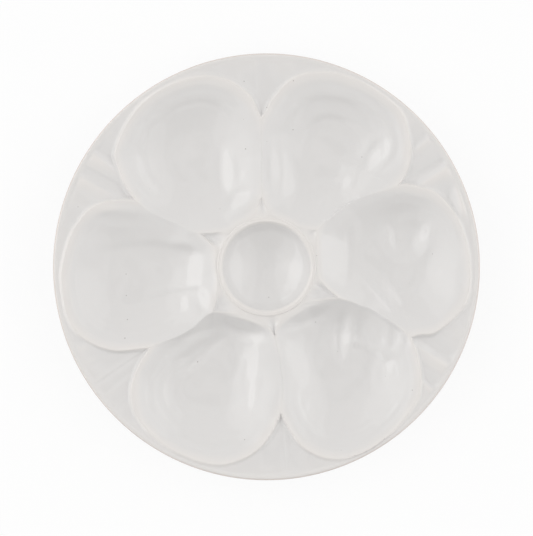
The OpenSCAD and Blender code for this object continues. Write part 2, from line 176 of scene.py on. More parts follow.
print("points of the ridges", sum(map(len, ridge_shares)), "and of the inner arcs", sum(map(len, inner_arc_shares)))

# %% [markdown]
# ## Arcs beside the rim
#
# These arcs give each well its own shape, so they have most of the points,
# thirteen or fourteen for each well. A curve drawn elsewhere and imported would
# do as well, but a table can be read and corrected here. The deepest places
# follow, where an oyster would come to lie.

# %% Points of the outer arcs, and the deepest places
outer_arc_shares = [
    [[0.720, -0.314], [0.776, -0.310], [0.824, -0.280], [0.880, -0.232], [0.928, -0.176],
     [0.950, -0.080], [0.948, 0.000], [0.940, 0.080], [0.904, 0.200], [0.840, 0.296],
     [0.776, 0.352], [0.720, 0.368], [0.656, 0.384]],
    [[0.640, 0.416], [0.664, 0.480], [0.672, 0.544], [0.664, 0.608], [0.640, 0.704],
     [0.592, 0.760], [0.496, 0.832], [0.400, 0.880], [0.304, 0.904], [0.192, 0.904],
     [0.112, 0.872], [0.056, 0.816], [0.024, 0.776], [0.000, 0.728]],
    [[-0.040, 0.720], [-0.072, 0.788], [-0.104, 0.820], [-0.176, 0.868], [-0.280, 0.890],
     [-0.400, 0.868], [-0.504, 0.820], [-0.592, 0.752], [-0.664, 0.648], [-0.704, 0.544],
     [-0.704, 0.504], [-0.688, 0.456], [-0.656, 0.376]],
    [[-0.656, 0.312], [-0.720, 0.308], [-0.784, 0.292], [-0.832, 0.264], [-0.896, 0.184],
     [-0.932, 0.096], [-0.958, -0.024], [-0.954, -0.104], [-0.936, -0.216], [-0.888, -0.304],
     [-0.800, -0.364], [-0.704, -0.390], [-0.600, -0.382]],
    [[-0.560, -0.408], [-0.592, -0.456], [-0.616, -0.512], [-0.632, -0.592], [-0.616, -0.680],
     [-0.560, -0.760], [-0.480, -0.832], [-0.384, -0.884], [-0.288, -0.916], [-0.208, -0.924],
     [-0.120, -0.900], [-0.040, -0.852], [0.024, -0.772], [0.048, -0.720]],
    [[0.080, -0.704], [0.104, -0.752], [0.152, -0.824], [0.208, -0.864], [0.272, -0.892],
     [0.368, -0.896], [0.464, -0.864], [0.544, -0.812], [0.616, -0.744], [0.672, -0.672],
     [0.712, -0.608], [0.720, -0.512], [0.700, -0.400], [0.684, -0.360]],
]
well_centres = np.array([
    [0.592, 0.016], [0.336, 0.520], [-0.376, 0.520], [-0.624, -0.032], [-0.272, -0.576], [0.368, -0.560],
]) * plate_r
print("points of the outer arcs", sum(map(len, outer_arc_shares)))

# %% [markdown]
# ## Crests
#
# The crests are what a finger feels first: the ridges between the wells, which
# sag a little halfway, and the lips beside the rim and the cup. A closed line
# for each well would be simpler to write, but a ridge would then be there
# twice. Neighbours share one ridge here, so they meet without a gap.

# %% Ridges, lips and outlines
RIDGE_STEPS, OUTER_STEPS, INNER_STEPS = 36, 92, 28
TIP_GATHER = 0.1
ridge_dips = [1.5, 1.2, 1.5, 1.5, 1.2, 1.5]


def ridge_line(k):
    """Crest of the ridge after well k, from the cup outwards; it dips by a half sine wave."""
    start, end = inner_tips[k], outer_tips[k]
    way = end - start
    left = np.array([-way[1], way[0]])
    middle = [start + way * along + left * aside for along, aside in ridge_shares[k]]
    plan = curve([start, *middle, end], RIDGE_STEPS)
    t = np.arange(RIDGE_STEPS) / RIDGE_STEPS
    height = mix(inner_lip_h, lip_h, t) - ridge_dips[k] * np.sin(np.pi * t)
    return np.column_stack([plan, height])


def outer_line(k):
    """Lip of well k beside the rim, level, with more points near its tips."""
    arc = np.array(outer_arc_shares[k]) * plate_r
    plan = curve([outer_tips[k - 1], *arc, outer_tips[k]], OUTER_STEPS, TIP_GATHER)
    return np.column_stack([plan, np.full(OUTER_STEPS, lip_h)])


def inner_line(k):
    """Lip of well k beside the cup, level."""
    arc = np.array(inner_arc_shares[k]) * cup_r
    plan = curve([inner_tips[k], *arc, inner_tips[k - 1]], INNER_STEPS)
    return np.column_stack([plan, np.full(INNER_STEPS, inner_lip_h)])


def outline(k):
    """Well k's crest, once round against the clock: out along a ridge, round the lip, back, and past the cup."""
    ahead = outers[(k + 1) % WELLS][:1]
    return np.vstack([ridges[k - 1], outers[k], ahead, ridges[k][:0:-1], inners[k]])


ridges = [ridge_line(k) for k in range(WELLS)]
outers = [outer_line(k) for k in range(WELLS)]
inners = [inner_line(k) for k in range(WELLS)]
outlines = [outline(k) for k in range(WELLS)]
outer_loop = np.vstack(outers)
inner_loop = np.vstack([np.vstack([ridges[k - 1][:1], inners[k][:0:-1]]) for k in range(WELLS)])
print("points round a well", len(outlines[0]), "round the rim", len(outer_loop), "round the cup", len(inner_loop))

# %% [markdown]
# ## The bead on the lips
#
# Glaze and clay leave a low round bead along every lip, and it catches a fine
# line of light. A thin tube laid on the lip would need a fillet at both sides.
# As a height that dies away on either side, the bead needs none.

# %% Bead on the lips
lip_bead_w, lip_bead_h = 1.6, 0.2


def bead_height(gap):
    """exp(-u^2), u being the distance from the crest in bead widths."""
    return lip_bead_h * np.exp(-((gap / lip_bead_w) ** 2))


print("bead", lip_bead_h, "mm high on the crest,", round(float(bead_height(2.0)), 3), "mm at 2 mm beside it")

# %% [markdown]
# ## Growth steps and waves
#
# A shell grows at its edge, so it carries steps and waves that run side by
# side with the lip over part of the way round. The mould was taken from such
# shells. Each mark is a small height that gets added to the bowl, a short
# formula over the plan, so each can be moved or softened alone. In a sculpted
# mesh it would have to be done again.

# %% Growth steps and waves
# Ledge: direction from the well's deepest place and half of its span, in
# degrees; distance in from the lip, drop and width of the step, in mm.
ledges = [
    [(60, 70, 6.0, 0.12, 2.5)],
    [(110, 50, 14.0, 0.15, 2.2), (105, 45, 25.0, 0.15, 2.2)],
    [(85, 60, 14.0, 0.2, 2.0)],
    [(-80, 60, 8.0, 0.2, 2.0), (190, 80, 9.0, 0.2, 2.0)],
    [(-90, 60, 10.0, 0.2, 2.0), (180, 60, 8.0, 0.3, 2.0), (185, 50, 18.0, 0.3, 2.0)],
    [(-60, 60, 9.0, 0.2, 2.0), (0, 50, 9.0, 0.2, 2.0)],
]
# Growth wave: direction from the deepest place and half of its span; distances
# in from the lip at which it starts and ends, its length and its height.
growth_waves = [
    [(50, 50, 2.0, 14.0, 6.0, 0.04)],
    [(85, 85, 3.0, 30.0, 11.0, 0.17), (30, 45, 2.0, 18.0, 8.5, 0.14)],
    [(100, 90, 2.0, 19.0, 7.5, 0.12), (190, 50, 4.0, 20.0, 8.0, 0.12)],
    [(-100, 80, 2.0, 16.0, 7.0, 0.15), (150, 50, 2.0, 12.0, 6.0, 0.10)],
    [(180, 70, 2.0, 30.0, 8.0, 0.20), (-80, 60, 2.0, 16.0, 8.0, 0.15)],
    [(-20, 80, 2.0, 16.0, 8.0, 0.15), (-130, 50, 2.0, 14.0, 7.0, 0.10)],
]
print("ledges", sum(map(len, ledges)), "and growth waves", sum(map(len, growth_waves)))

# %% [markdown]
# ### Heights of the growth marks
#
# Each point of a well has a direction from the deepest place and a distance in
# from the lip. A mark that follows the lip is a function of the distance alone,
# and fades with the direction. Displacing along drawn curves would give the
# same, with far more to draw.

# %% Heights of the growth marks
# Distance in from the lip at which every wave passes through nought, and the
# lengths over which a wave fades in and out
WAVE_NOUGHT, WAVE_IN, WAVE_OUT = 8.5, 3, 4
# With this, a step stands 0.7 of its drop above the bowl and as much below it
STEP_GAIN = 1.6


def signed_turn(angle, mid):
    """Degrees from one direction to another, from -180 to 180."""
    return (angle - mid + 180) % 360 - 180


def span_window(spoke_angle, mid, half_span):
    """1 over the middle half of a span of directions, and a smooth step down to 0 at both ends."""
    return smooth((1 - np.abs(signed_turn(spoke_angle, mid)) / half_span) * 2)


def ledge_height(spoke_angle, lip_gap, mid, half_span, gap, drop, width):
    """A wave u*exp(-u^2) across the spoke, faded out along the lip."""
    u = (gap - lip_gap) / width
    return drop * span_window(spoke_angle, mid, half_span) * u * np.exp(-u * u) * STEP_GAIN


def growth_height(spoke_angle, lip_gap, mid, half_span, first, last, length, height):
    """A sine of the distance from the lip, faded out at its ends and at both sides."""
    fade = span_window(spoke_angle, mid, half_span) * smooth((lip_gap - first) / WAVE_IN)
    fade = fade * smooth((last - lip_gap) / WAVE_OUT)
    return height * fade * np.sin(2 * np.pi * (lip_gap - WAVE_NOUGHT) / length)


example = ledge_height(0.0, np.linspace(0.0, 12.0, 121), 0, 60, 6.0, 0.2, 2.0)
print("a ledge with a drop of 0.2 mm stands", round(float(example.max()), 3), "mm above the bowl")

# %% [markdown]
# ## Folds and the crater
#
# A fold is a long low wave or a crease across the wall. The crater, in the
# well at the right, has a raised edge around a shallow dish: a shell has one
# where the animal's muscle held. Both could be pushed in with a sculpting
# brush. A line with a width and an ellipse with an edge say the same in seven
# or eight numbers.

# %% Folds and the crater
# Fold: start and end in the plate's plan, sideways bow, half width, height of
# its wave, and height of the step from its right side up to its left side.
folds = [
    [((48, 26), (47, -8), 1.0, 2.0, -0.5, 0.0), ((53, 5), (86, -30), 1.0, 3.5, 0.4, -0.35),
     ((58, -6), (76, -27), 0.0, 1.8, -0.25, 0.25), ((48, 27), (104, 34), 5.0, 7.0, 0.0, 0.15)],
    [],
    [],
    [((-98, 10), (-66, 14), 1.0, 3.5, 0.0, 0.28), ((-70, 14), (-36, 9), 1.0, 3.5, 0.0, 0.40),
     ((-100, 32), (-66, 28), 1.0, 3.5, 0.0, 0.22), ((-68, -17), (-34, -12), 1.0, 3.0, 0.2, 0.5)],
    [((-36, -38), (-64, -64), -4.0, 2.5, 0.4, 0.3), ((-20, -42), (-50, -66), -3.0, 2.5, 0.3, 0.3)],
    [((48, -45), (70, -56), 2.0, 3.0, 0.1, 0.55)],
]
# Scar, by the well's number: middle in the plan, half length, half width, turn,
# height of its edge, depth.
scars = {0: [((84, 15), 14.0, 11.0, 55, 0.3, 0.4)]}
SCAR_EDGE_W = 0.25
# A fold fades towards its ends: how fast, and from what at the very end
FOLD_RATE, FOLD_END = 3, 0.3


def fold_height(x, y, start, end, bow, width, wave, step):
    """exp(-u^2) is the wave and u*exp(-u^2) the step, u being the distance from a bowed line."""
    (x0, y0), (x1, y1) = start, end
    length = np.hypot(x1 - x0, y1 - y0)
    along = ((x - x0) * (x1 - x0) + (y - y0) * (y1 - y0)) / length**2
    aside = ((y - y0) * (x1 - x0) - (x - x0) * (y1 - y0)) / length - bow * 4 * along * (1 - along)
    fade = smooth(np.minimum(along, 1 - along) * FOLD_RATE + FOLD_END)
    u = aside / width
    return fade * (wave + step * STEP_GAIN * u) * np.exp(-u * u)


def scar_height(x, y, middle, half_length, half_width, turn, edge, depth):
    """A ring exp(-((q-1)/w)^2) around a dish (1-q^2), q being the distance in ellipse radii."""
    c, s = np.cos(np.radians(turn)), np.sin(np.radians(turn))
    dx, dy = x - middle[0], y - middle[1]
    q = np.hypot((dx * c + dy * s) / half_length, (dy * c - dx * s) / half_width)
    return edge * np.exp(-(((q - 1) / SCAR_EDGE_W) ** 2)) - depth * clamp01(1 - q * q)


print("folds", sum(map(len, folds)), "and scars", sum(map(len, scars.values())))

# %% [markdown]
# ## Patches that mirror a lamp
#
# Glaze is a mirror. A patch of wall shows a lamp only where its slope throws
# that lamp's light straight up: 0.47 for a lamp 50 degrees from overhead and
# 0.52 for one at 55 degrees. Smoothing by hand left such patches in the clay,
# and in the photograph they are the bright shapes in the wells. Painted ones
# would be wrong as soon as the plate turns. So the wall itself gets the slope:
# a plane is fitted to what is there, and a tilt adds only what is missing. A
# facet is a short patch with a crisp end, and a strip is long, with little
# fall beside it.

# %% Facets and strips
# Facet or strip: middle in the plan, half length across its rise, half width
# along it, direction in which it rises, and slope.
facets = [
    [((37, 5), 22.0, 12.0, 181, 0.52), ((103, -6), 34.0, 9.0, 0, 0.46)],
    [((40, 38), 12.0, 10.0, -52, 0.36), ((65.5, 65), 12.0, 6.0, -36, 0.495),
     ((48, 50.5), 9.5, 3.8, -20, 0.48), ((12.5, 51), 18.0, 7.0, 186, 0.52), ((5.0, 57), 14.0, 3.6, 182, 0.52)],
    [((-29, 36), 10.0, 9.0, -50, 0.34), ((-23.5, 57), 12.0, 5.5, 5, 0.48),
     ((-14.5, 39), 8.5, 6.0, -62, 0.48), ((-75, 59), 17.0, 4.6, 200, 0.53), ((-68, 48), 10.0, 4.2, 218, 0.57)],
    [((-36, -19), 9.0, 5.0, 15, 0.44), ((-42, -1), 13.0, 7.0, 0, 0.47), ((-48, -22), 4.5, 4.0, 10, 0.39),
     ((-48, 11), 9.0, 5.0, 78, 0.62), ((-88, 30), 13.0, 5.0, 88, 0.46)],
    [((-14, -92), 14.0, 9.0, -45, 0.33), ((-8.5, -65), 12.0, 5.0, -3, 0.47), ((-8.6, -75), 9.0, 3.2, -6, 0.46),
     ((-10.5, -49), 11.0, 9.0, 12, 0.50), ((-9.7, -56), 6.0, 4.5, 4, 0.475), ((-73, -75), 17.0, 6.0, 185, 0.45),
     ((-60, -76), 12.0, 4.0, 185, 0.46), ((-12, -33.5), 13.0, 7.5, 72, 1.02), ((-42, -50), 16.0, 6.0, 125, 0.6)],
    [((22, -28.5), 15.0, 5.5, 112, 0.80), ((19, -48), 15.0, 12.0, 190, 0.50), ((46.5, -41.5), 14.0, 5.5, -5, 0.47),
     ((73, -42), 12.0, 9.0, 40, 0.27), ((69.5, -41), 5.5, 4.5, -4, 0.45), ((76.5, -41.5), 6.0, 4.5, 0, 0.46),
     ((73, -64), 18.0, 10.0, 0, 0.37), ((73, -62.5), 8.5, 6.5, 0, 0.465)],
]
# Strips, by the well's number
strips = {0: [((73.5, 18), 6.5, 2.5, 190, 0.45), ((90, 17), 12.5, 3.6, -33, 0.385)]}
print("facets", sum(map(len, facets)), "and strips", sum(map(len, strips.values())))

# %% [markdown]
# ### Tilting a patch
#
# To tilt a patch to a wanted slope, one has to know the slope that it has. The
# normals of the mesh would tell, but there is no mesh yet. A plane through the
# heights around the middle, by least squares, tells from the arrays alone.

# %% Heights of facets and strips
# Radius within which the fitted plane takes most of its points
FIT_R = 3.0


def slopes_at(x, y, z, middle):
    """Slopes along x and y of the plane that fits the points round a place, weighed by exp(-(distance/FIT_R)^2)."""
    dx, dy = (x - middle[0]).ravel(), (y - middle[1]).ravel()
    weight = np.exp(-(dx * dx + dy * dy) / FIT_R**2)
    sides = np.column_stack([np.ones_like(dx), dx, dy]) * weight[:, None]
    return np.linalg.lstsq(sides, z.ravel() * weight, rcond=None)[0][1:]


def tilt_at(x, y, z, middle, rising, slope):
    """Places up the rise and across it, counted from the middle, and the slope that is missing there."""
    way = np.array([np.cos(np.radians(rising)), np.sin(np.radians(rising))])
    dx, dy = x - middle[0], y - middle[1]
    missing = slope - slopes_at(x, y, z, middle) @ way
    return dx * way[0] + dy * way[1], dy * way[0] - dx * way[1], missing


def facet_height(x, y, z, middle, half_length, half_width, rising, slope):
    """A tilt m*v*exp(-(u^2+v^2)^2): m the missing slope, u the place across the rise and v up it, in half sizes."""
    up, across, missing = tilt_at(x, y, z, middle, rising, slope)
    return missing * up * np.exp(-((across / half_length) ** 2 + (up / half_width) ** 2) ** 2)


def strip_height(x, y, z, middle, half_length, half_width, rising, slope):
    """A tilt m*v/(1+(v/w)^4)^0.5 that falls back slowly at both sides and fades with exp(-(v/3w)^4-(u/l)^4)."""
    up, across, missing = tilt_at(x, y, z, middle, rising, slope)
    fade = np.exp(-((up / (3 * half_width)) ** 4) - (across / half_length) ** 4)
    return missing * fade * up / np.sqrt(1 + (up / half_width) ** 4)


test_x, test_y = np.meshgrid(np.arange(-10.0, 11.0), np.arange(-10.0, 11.0))
print("slopes found on a test plane", slopes_at(test_x, test_y, 0.1 * test_x - 0.2 * test_y, (0, 0)).round(3))

# %% [markdown]
# ## How a bowl's wall rises
#
# The contour lines of a bowl follow the outline near the lip and calm down to
# an oval near the bottom, as they do in a shell. A bowl turned on a wheel would
# be round, and one scaled down from its outline would carry each dent to the
# bottom. So each spoke's length is mixed from the outline and from an average
# over neighbouring spokes. The wall is narrow, and so steep, on the side of the
# cup or the ridge, and wide on the side of the rim.

# %% Wall of a bowl
# Width of each well's wall to the right, up, left and down of its deepest place
wall_widths = [
    (33, 27, 28, 27),
    (38, 38, 31, 28),
    (36, 36, 31, 28),
    (31, 34, 33, 28),
    (36, 17, 30, 33),
    (34, 21, 31, 33),
]
# Slope of each wall at its lip in shares of its mean slope, in the same order
lip_slopes = [
    (0.45, 0.45, 1.0, 0.45),
    (0.45, 0.3, 0.45, 0.6),
    (0.45, 0.3, 0.45, 0.6),
    (0.8, 0.45, 0.2, 0.45),
    (0.25, 1.3, 0.45, 0.45),
    (0.45, 1.3, 0.3, 0.45),
]
print("walls from", np.min(wall_widths), "to", np.max(wall_widths), "mm wide")

# %% [markdown]
# ### Shape of the spokes and of the wall
#
# The average over neighbouring spokes is a product of Fourier transforms, since
# a sum over all neighbours of all spokes would be slow to write and to run. The
# wall's rise is a cubic, the lowest power that can be level at the foot and
# have any slope at the lip.

# %% Spokes and walls


def calm(angles, reach, spread):
    """Spoke lengths averaged around the circle with a bell curve, its spread in degrees."""
    even = np.arange(360.0)
    order = np.argsort(angles)
    table = np.interp(even, np.sort(angles), reach[order], period=360)
    away = np.minimum(even, 360 - even)
    bell = np.exp(-((away / spread) ** 2))
    calmed = np.real(np.fft.ifft(np.fft.fft(table) * np.fft.fft(bell / bell.sum())))
    return np.interp(angles, even, calmed, period=360)


def by_direction(four, angle):
    """Mix of the two nearest of four values (right, up, left, down), by the squared cosine and sine."""
    quarter = np.floor(angle / 90).astype(int)
    values = np.array(four, float)
    turn = np.radians(angle - 90 * quarter)
    return values[quarter % 4] * np.cos(turn) ** 2 + values[(quarter + 1) % 4] * np.sin(turn) ** 2


def wall_rise(share, lip_slope):
    """r^2 (3 - m - (2 - m) r): level at the foot, steepest above halfway, and of slope m at the lip."""
    r = clamp01(share)
    return r * r * (3 - lip_slope - (2 - lip_slope) * r)


print("halfway up a wall the height is", float(wall_rise(0.5, 0.45)), "of the whole")

# %% [markdown]
# ## The six wells
#
# A well is a fan of spokes from its deepest place to its lip. Rows lie closer
# together where the marks are and closest at the lip, where the bead is. The
# marks are added in turn: first those that give form, then strips and facets,
# which measure the slope that the others left.

# %% Surface of a well
well_rows = np.concatenate([
    np.linspace(0.0, 0.30, 5, endpoint=False),
    np.linspace(0.30, 0.94, 31, endpoint=False),
    np.linspace(0.94, 1.0, 6),
])
# Bell spread in degrees, for the bottom and for the lip; how late a spoke takes
# the outline's own length; and how close to the lip the marks fade out
BOTTOM_CALM, LIP_CALM, CALM_POWER, MARK_FADE = 35.0, 12.0, 3.0, 2.5


def well_surface(k):
    """Grid of points (rows from the deepest place to the lip, columns round the outline)."""
    crest = outlines[k]
    spokes = crest[:, :2] - well_centres[k]
    reach = np.linalg.norm(spokes, axis=1)
    angle = np.degrees(np.arctan2(spokes[:, 1], spokes[:, 0])) % 360
    aim = spokes / reach[:, None]
    share = well_rows[:, None]
    oval = calm(angle, reach, BOTTOM_CALM)[None, :]
    r = share * mix(oval, reach[None, :], share**CALM_POWER)
    x = well_centres[k][0] + aim[None, :, 0] * r
    y = well_centres[k][1] + aim[None, :, 1] * r
    gap = (1 - share) * mix(oval, calm(angle, reach, LIP_CALM)[None, :], share**2)
    width = by_direction(wall_widths[k], angle)[None, :]
    rise = wall_rise(1 - gap / width, by_direction(lip_slopes[k], angle)[None, :])
    z = mix(floor_z, crest[None, :, 2], rise) + bead_height(gap)
    inside = smooth(gap / MARK_FADE)
    for mark in ledges[k]:
        z = z + inside * ledge_height(angle[None, :], gap, *mark)
    for mark in growth_waves[k]:
        z = z + growth_height(angle[None, :], gap, *mark)
    for mark in folds[k]:
        z = z + inside * fold_height(x, y, *mark)
    for mark in scars.get(k, []):
        z = z + inside * scar_height(x, y, *mark)
    for mark in strips.get(k, []):
        z = z + inside * strip_height(x, y, z, *mark)
    for mark in facets[k]:
        z = z + inside * facet_height(x, y, z, *mark)
    z[-1] = crest[:, 2] + bead_height(0.0)
    return np.stack([x, y, z], axis=2)


well_grids = [well_surface(k) for k in range(WELLS)]
print("lowest glaze in each well", [round(float(g[..., 2].min()), 2) for g in well_grids])

# %% [markdown]
# ## The ground of the panels
#
# Outside the lips lie six panels, lowest at the tips where two wells part. The
# lips drop to them in a short steep flank. Six separate panels would need
# trimming against the wells. One band from the lips out to the rim covers them
# all, because it may be as narrow as it likes where a well comes close.

# %% Band outside the lips
# Width of the bead at the rim
rim_bead_w = 3.0
# Rows across the band, and the power that gathers them at the lips
BAND_ROWS, ROW_POWER = 23, 1.5
tip_r = float(np.linalg.norm(outer_tips[1]))
out_angle = np.arctan2(outer_loop[:, 1], outer_loop[:, 0])
out_r = np.linalg.norm(outer_loop[:, :2], axis=1)


def gap_to(loop, x, y):
    """Distance from each point of a grid to the nearest piece of a closed line, taken over every other point."""
    gap = np.full(x.shape, 1e9)
    for start, end in zip(loop[::2, :2], np.roll(loop, -2, axis=0)[::2, :2]):
        way = end - start
        t = clamp01(((x - start[0]) * way[0] + (y - start[1]) * way[1]) / (way @ way))
        gap = np.minimum(gap, np.hypot(x - start[0] - t * way[0], y - start[1] - t * way[1]))
    return gap


band_rows = np.linspace(0, 1, BAND_ROWS) ** ROW_POWER
band_r = mix(out_r[None, :], plate_r - rim_bead_w, band_rows[1:, None])
band_x, band_y = band_r * np.cos(out_angle), band_r * np.sin(out_angle)
band_gap = gap_to(outer_loop, band_x, band_y)
panel = rim_h - panel_drop * clamp01((plate_r - band_r) / (plate_r - tip_r))
print("narrowest place between lip and rim", round(float(plate_r - out_r.max()), 2), "mm")

# %% [markdown]
# ## Flutes
#
# The panels are combed with shallow flutes that run outwards like the ribs of
# a scallop, some smooth, some broken off to one side. Each is a narrow strip
# of ground that is tilted to one side, so that it mirrors a lamp or turns from
# it. A bump map would be lost in the exported model, so the ground is moved.

# %% Flutes of the panels
# Width of the steep flank outside a lip
flank_w = 1.3
# Flute: its direction in degrees, half width in mm, and slope across it against the clock
flutes = [
    (31.8, 1.6, 0.12), (44.0, 2.0, 0.12),
    (78.0, 2.0, 0.06), (84.0, 2.0, -0.06), (93.0, 2.0, 0.08), (99.5, 2.0, -0.06), (105.0, 2.0, 0.05),
    (139.0, 3.0, 0.12), (146.5, 5.0, 0.56), (150.8, 1.5, -0.30), (154.0, 5.0, 0.54), (162.0, 3.0, -0.12),
    (203.0, 4.0, 0.30), (209.0, 1.8, -0.18), (214.3, 1.4, -0.32), (218.5, 2.5, 0.12), (223.0, 1.4, -0.32),
    (229.0, 2.5, 0.12), (262.0, 2.0, 0.06), (268.5, 2.0, -0.08), (276.0, 2.0, 0.09), (283.0, 2.0, -0.06),
    (317.0, 2.0, 0.15), (324.0, 2.6, -0.70), (328.5, 1.3, 0.30), (340.0, 2.0, 0.15),
]
# Strips of the panels, given like those of the wells
panel_strips = [
    ((91, 73), 8.0, 1.8, -50, 0.54), ((97, 54.5), 15.0, 3.0, -60, 0.58), ((111, 38), 9.0, 4.0, 12, 0.48),
    ((97, -50), 14.0, 3.0, -123, 0.56), ((94.5, -69), 6.0, 1.5, -129, 0.56),
]
# Distances over which the flutes fade out, beside the lips and beside the rim's bead
LIP_FADE, RIM_FADE = 3, 2


def flute_height(angle, r):
    """Sum of m*s/(1+(s/w)^2)^2 along rays: s the sideways distance, m the slope, w the half width."""
    total = np.zeros(r.shape)
    for turn, half_width, slope in flutes:
        aside = r * np.radians(signed_turn(angle, turn))
        total = total + slope * aside / (1 + (aside / half_width) ** 2) ** 2
    return total


flute = flute_height(np.degrees(out_angle)[None, :], band_r)
for mark in panel_strips:
    flute = flute + strip_height(band_x, band_y, panel + flute, *mark)
panel = panel + flute * smooth(band_gap / LIP_FADE) * smooth((plate_r - rim_bead_w - band_r) / RIM_FADE)
band_z = mix(panel, lip_h, np.exp(-((band_gap / flank_w) ** 2))) + bead_height(band_gap)
band_grid = np.stack([band_x, band_y, band_z], axis=2)
print("panels reach from", round(float(band_z.min()), 2), "to", round(float(band_z.max()), 2), "mm up")

# %% [markdown]
# ## The rim's bead
#
# The rim ends in a low bead that keeps it from chipping, rolls over the edge
# and comes back below. It is round all the way, so it is a profile turned
# about the axis. Its columns are those of the band, so the two join point to
# point.

# %% Bead at the rim
rim_bead_h = 0.15
# How far in from the edge the rim's underside begins
RIM_UNDER_W = 3.0


def ring_grid(profile, angles):
    """Rings of points from a profile of (radius, height) rows."""
    r, z = np.asarray(profile, float).T
    return np.stack([r[:, None] * np.cos(angles), r[:, None] * np.sin(angles),
                     np.broadcast_to(z[:, None], (len(r), len(angles)))], axis=2)


# From the bead's inner foot over its top and round the outer edge
bead = curve([
    [plate_r - rim_bead_w, rim_h], [plate_r - 2.2, rim_h + rim_bead_h * 0.55],
    [plate_r - 1.4, rim_h + rim_bead_h], [plate_r - 0.7, rim_h - 0.05],
    [plate_r, rim_h - rim_t * 0.3], [plate_r - 0.35, rim_h - rim_t * 0.65],
    [plate_r - 1.2, rim_h - rim_t * 0.92], [plate_r - RIM_UNDER_W, rim_h - rim_t],
], 16)
bead_grid = ring_grid(bead[1:], out_angle)
print("edge at", round(float(bead[:, 0].max()), 2), "mm from the axis")

# %% [markdown]
# ## The sauce cup
#
# The cup is the one round thing on the plate, so it too is a turned profile:
# a ring with a full round top and a fine groove beside it, then a wall that
# runs out into a shallow floor. A lathed cylinder with rounded edges would
# come close, but its floor would be flat, and a flat mirror looks dead.

# %% Cup
# Share of the cup's radius, and share of its depth below the top of the ring
cup_shares = np.array([
    [1.000, 0.055], [0.988, 0.022], [0.974, 0.004], [0.960, 0.022], [0.946, 0.006], [0.932, 0.000],
    [0.918, 0.010], [0.903, 0.040], [0.876, 0.105], [0.845, 0.205], [0.759, 0.387], [0.655, 0.522],
    [0.414, 0.790], [0.207, 0.948], [0.080, 0.992], [0.0, 1.0],
])
in_angle = np.arctan2(inner_loop[:, 1], inner_loop[:, 0])
cup_profile = curve([0, cup_h] + cup_shares * [cup_r, -cup_depth], 72)
cup_grid = ring_grid(np.vstack([cup_profile, [[0.0, cup_h - cup_depth]]]), in_angle)
print("cup depth", round(float(cup_h - cup_grid[..., 2].min()), 2))

# %% [markdown]
# ## The seam around the cup
#
# Between the ring and the lips runs a narrow groove that widens to a sunken
# triangle wherever two lips part. It could be cut with a boolean. But its
# depth simply follows its width, so a strip of rows that sag between ring and
# lip gives both the groove and the triangles.

# %% Seam
# Depth of a triangle at the sides, on the near side and on the far side, with
# the place (sine of the direction) and the width of the change
seam_side, seam_near, seam_far = 1.6, 1.3, 0.8
near_from, near_w, far_from, far_w = 0.6, 0.3, 0.7, 0.2
# Widths between which the seam changes from a level joint to its full depth
seam_level_w, seam_change_w = 3, 8
in_r = np.linalg.norm(inner_loop[:, :2], axis=1)
# The deepest line lies closer to the lip than to the ring, by this power
SAG_POWER = 0.65
seam_rows = np.linspace(0, 1, 10)[1:-1, None]
seam_deepest = mix(seam_side, seam_near, smooth((-np.sin(in_angle) - near_from) / near_w))
seam_deepest = mix(seam_deepest, seam_far, smooth((np.sin(in_angle) - far_from) / far_w))
seam_depth = (seam_deepest * smooth((in_r - cup_r - seam_level_w) / seam_change_w))[None, :]
seam_r = mix(in_r[None, :], cup_r, seam_rows)
seam_z = mix(inner_loop[None, :, 2] + lip_bead_h, cup_profile[0, 1], seam_rows)
seam_z = seam_z - seam_depth * np.sin(np.pi * seam_rows**SAG_POWER)
seam_grid = np.stack([seam_r * np.cos(in_angle), seam_r * np.sin(in_angle), seam_z], axis=2)
print("deepest place of the seam", round(float(seam_z.min()), 2), "mm up")

# %% [markdown]
# ## Heights anywhere on the upper side
#
# The clay has an even wall, so the underside follows the upper side. To follow
# it, one has to know its height anywhere, and not only at the points of six
# fans. Ray casting into the finished mesh would tell, one slow ray at a time.
# A square lattice of heights answers for a whole array at once.

# %% Lattice of heights
GRID_STEP = 0.5
axis = np.arange(-plate_r, plate_r + GRID_STEP, GRID_STEP)


def raster(grids):
    """Upper-side heights on the lattice: sum and number of the points that fall in each cell."""
    total, count = np.zeros((len(axis), len(axis))), np.zeros((len(axis), len(axis)))
    for g in grids:
        i = np.clip(np.rint((g[..., 0] + plate_r) / GRID_STEP).astype(int), 0, len(axis) - 1)
        j = np.clip(np.rint((g[..., 1] + plate_r) / GRID_STEP).astype(int), 0, len(axis) - 1)
        np.add.at(total, (j, i), g[..., 2])
        np.add.at(count, (j, i), 1)
    return total, count


def fill(total, count, rounds=12):
    """The mean in each cell; empty cells take the mean of their filled neighbours, round by round."""
    for _ in range(rounds):
        empty = count == 0
        if not empty.any():
            break
        t, c = np.zeros_like(total), np.zeros_like(count)
        for dj, di in ((0, 1), (1, 0), (0, -1), (-1, 0)):
            t += np.roll(np.where(count > 0, total / np.maximum(count, 1), 0), (dj, di), (0, 1))
            c += np.roll(count > 0, (dj, di), (0, 1))
        total, count = np.where(empty, t, total), np.where(empty, c, count)
    return total / np.maximum(count, 1)


def look_up(x, y):
    """Height of the upper side at any point, mixed from the four lattice points around it."""
    u = np.clip((x + plate_r) / GRID_STEP, 0, len(axis) - 1.001)
    v = np.clip((y + plate_r) / GRID_STEP, 0, len(axis) - 1.001)
    i, j = u.astype(int), v.astype(int)
    f, g = u - i, v - j
    low = mix(upper[j, i], upper[j, i + 1], f)
    high = mix(upper[j + 1, i], upper[j + 1, i + 1], f)
    return mix(low, high, g)


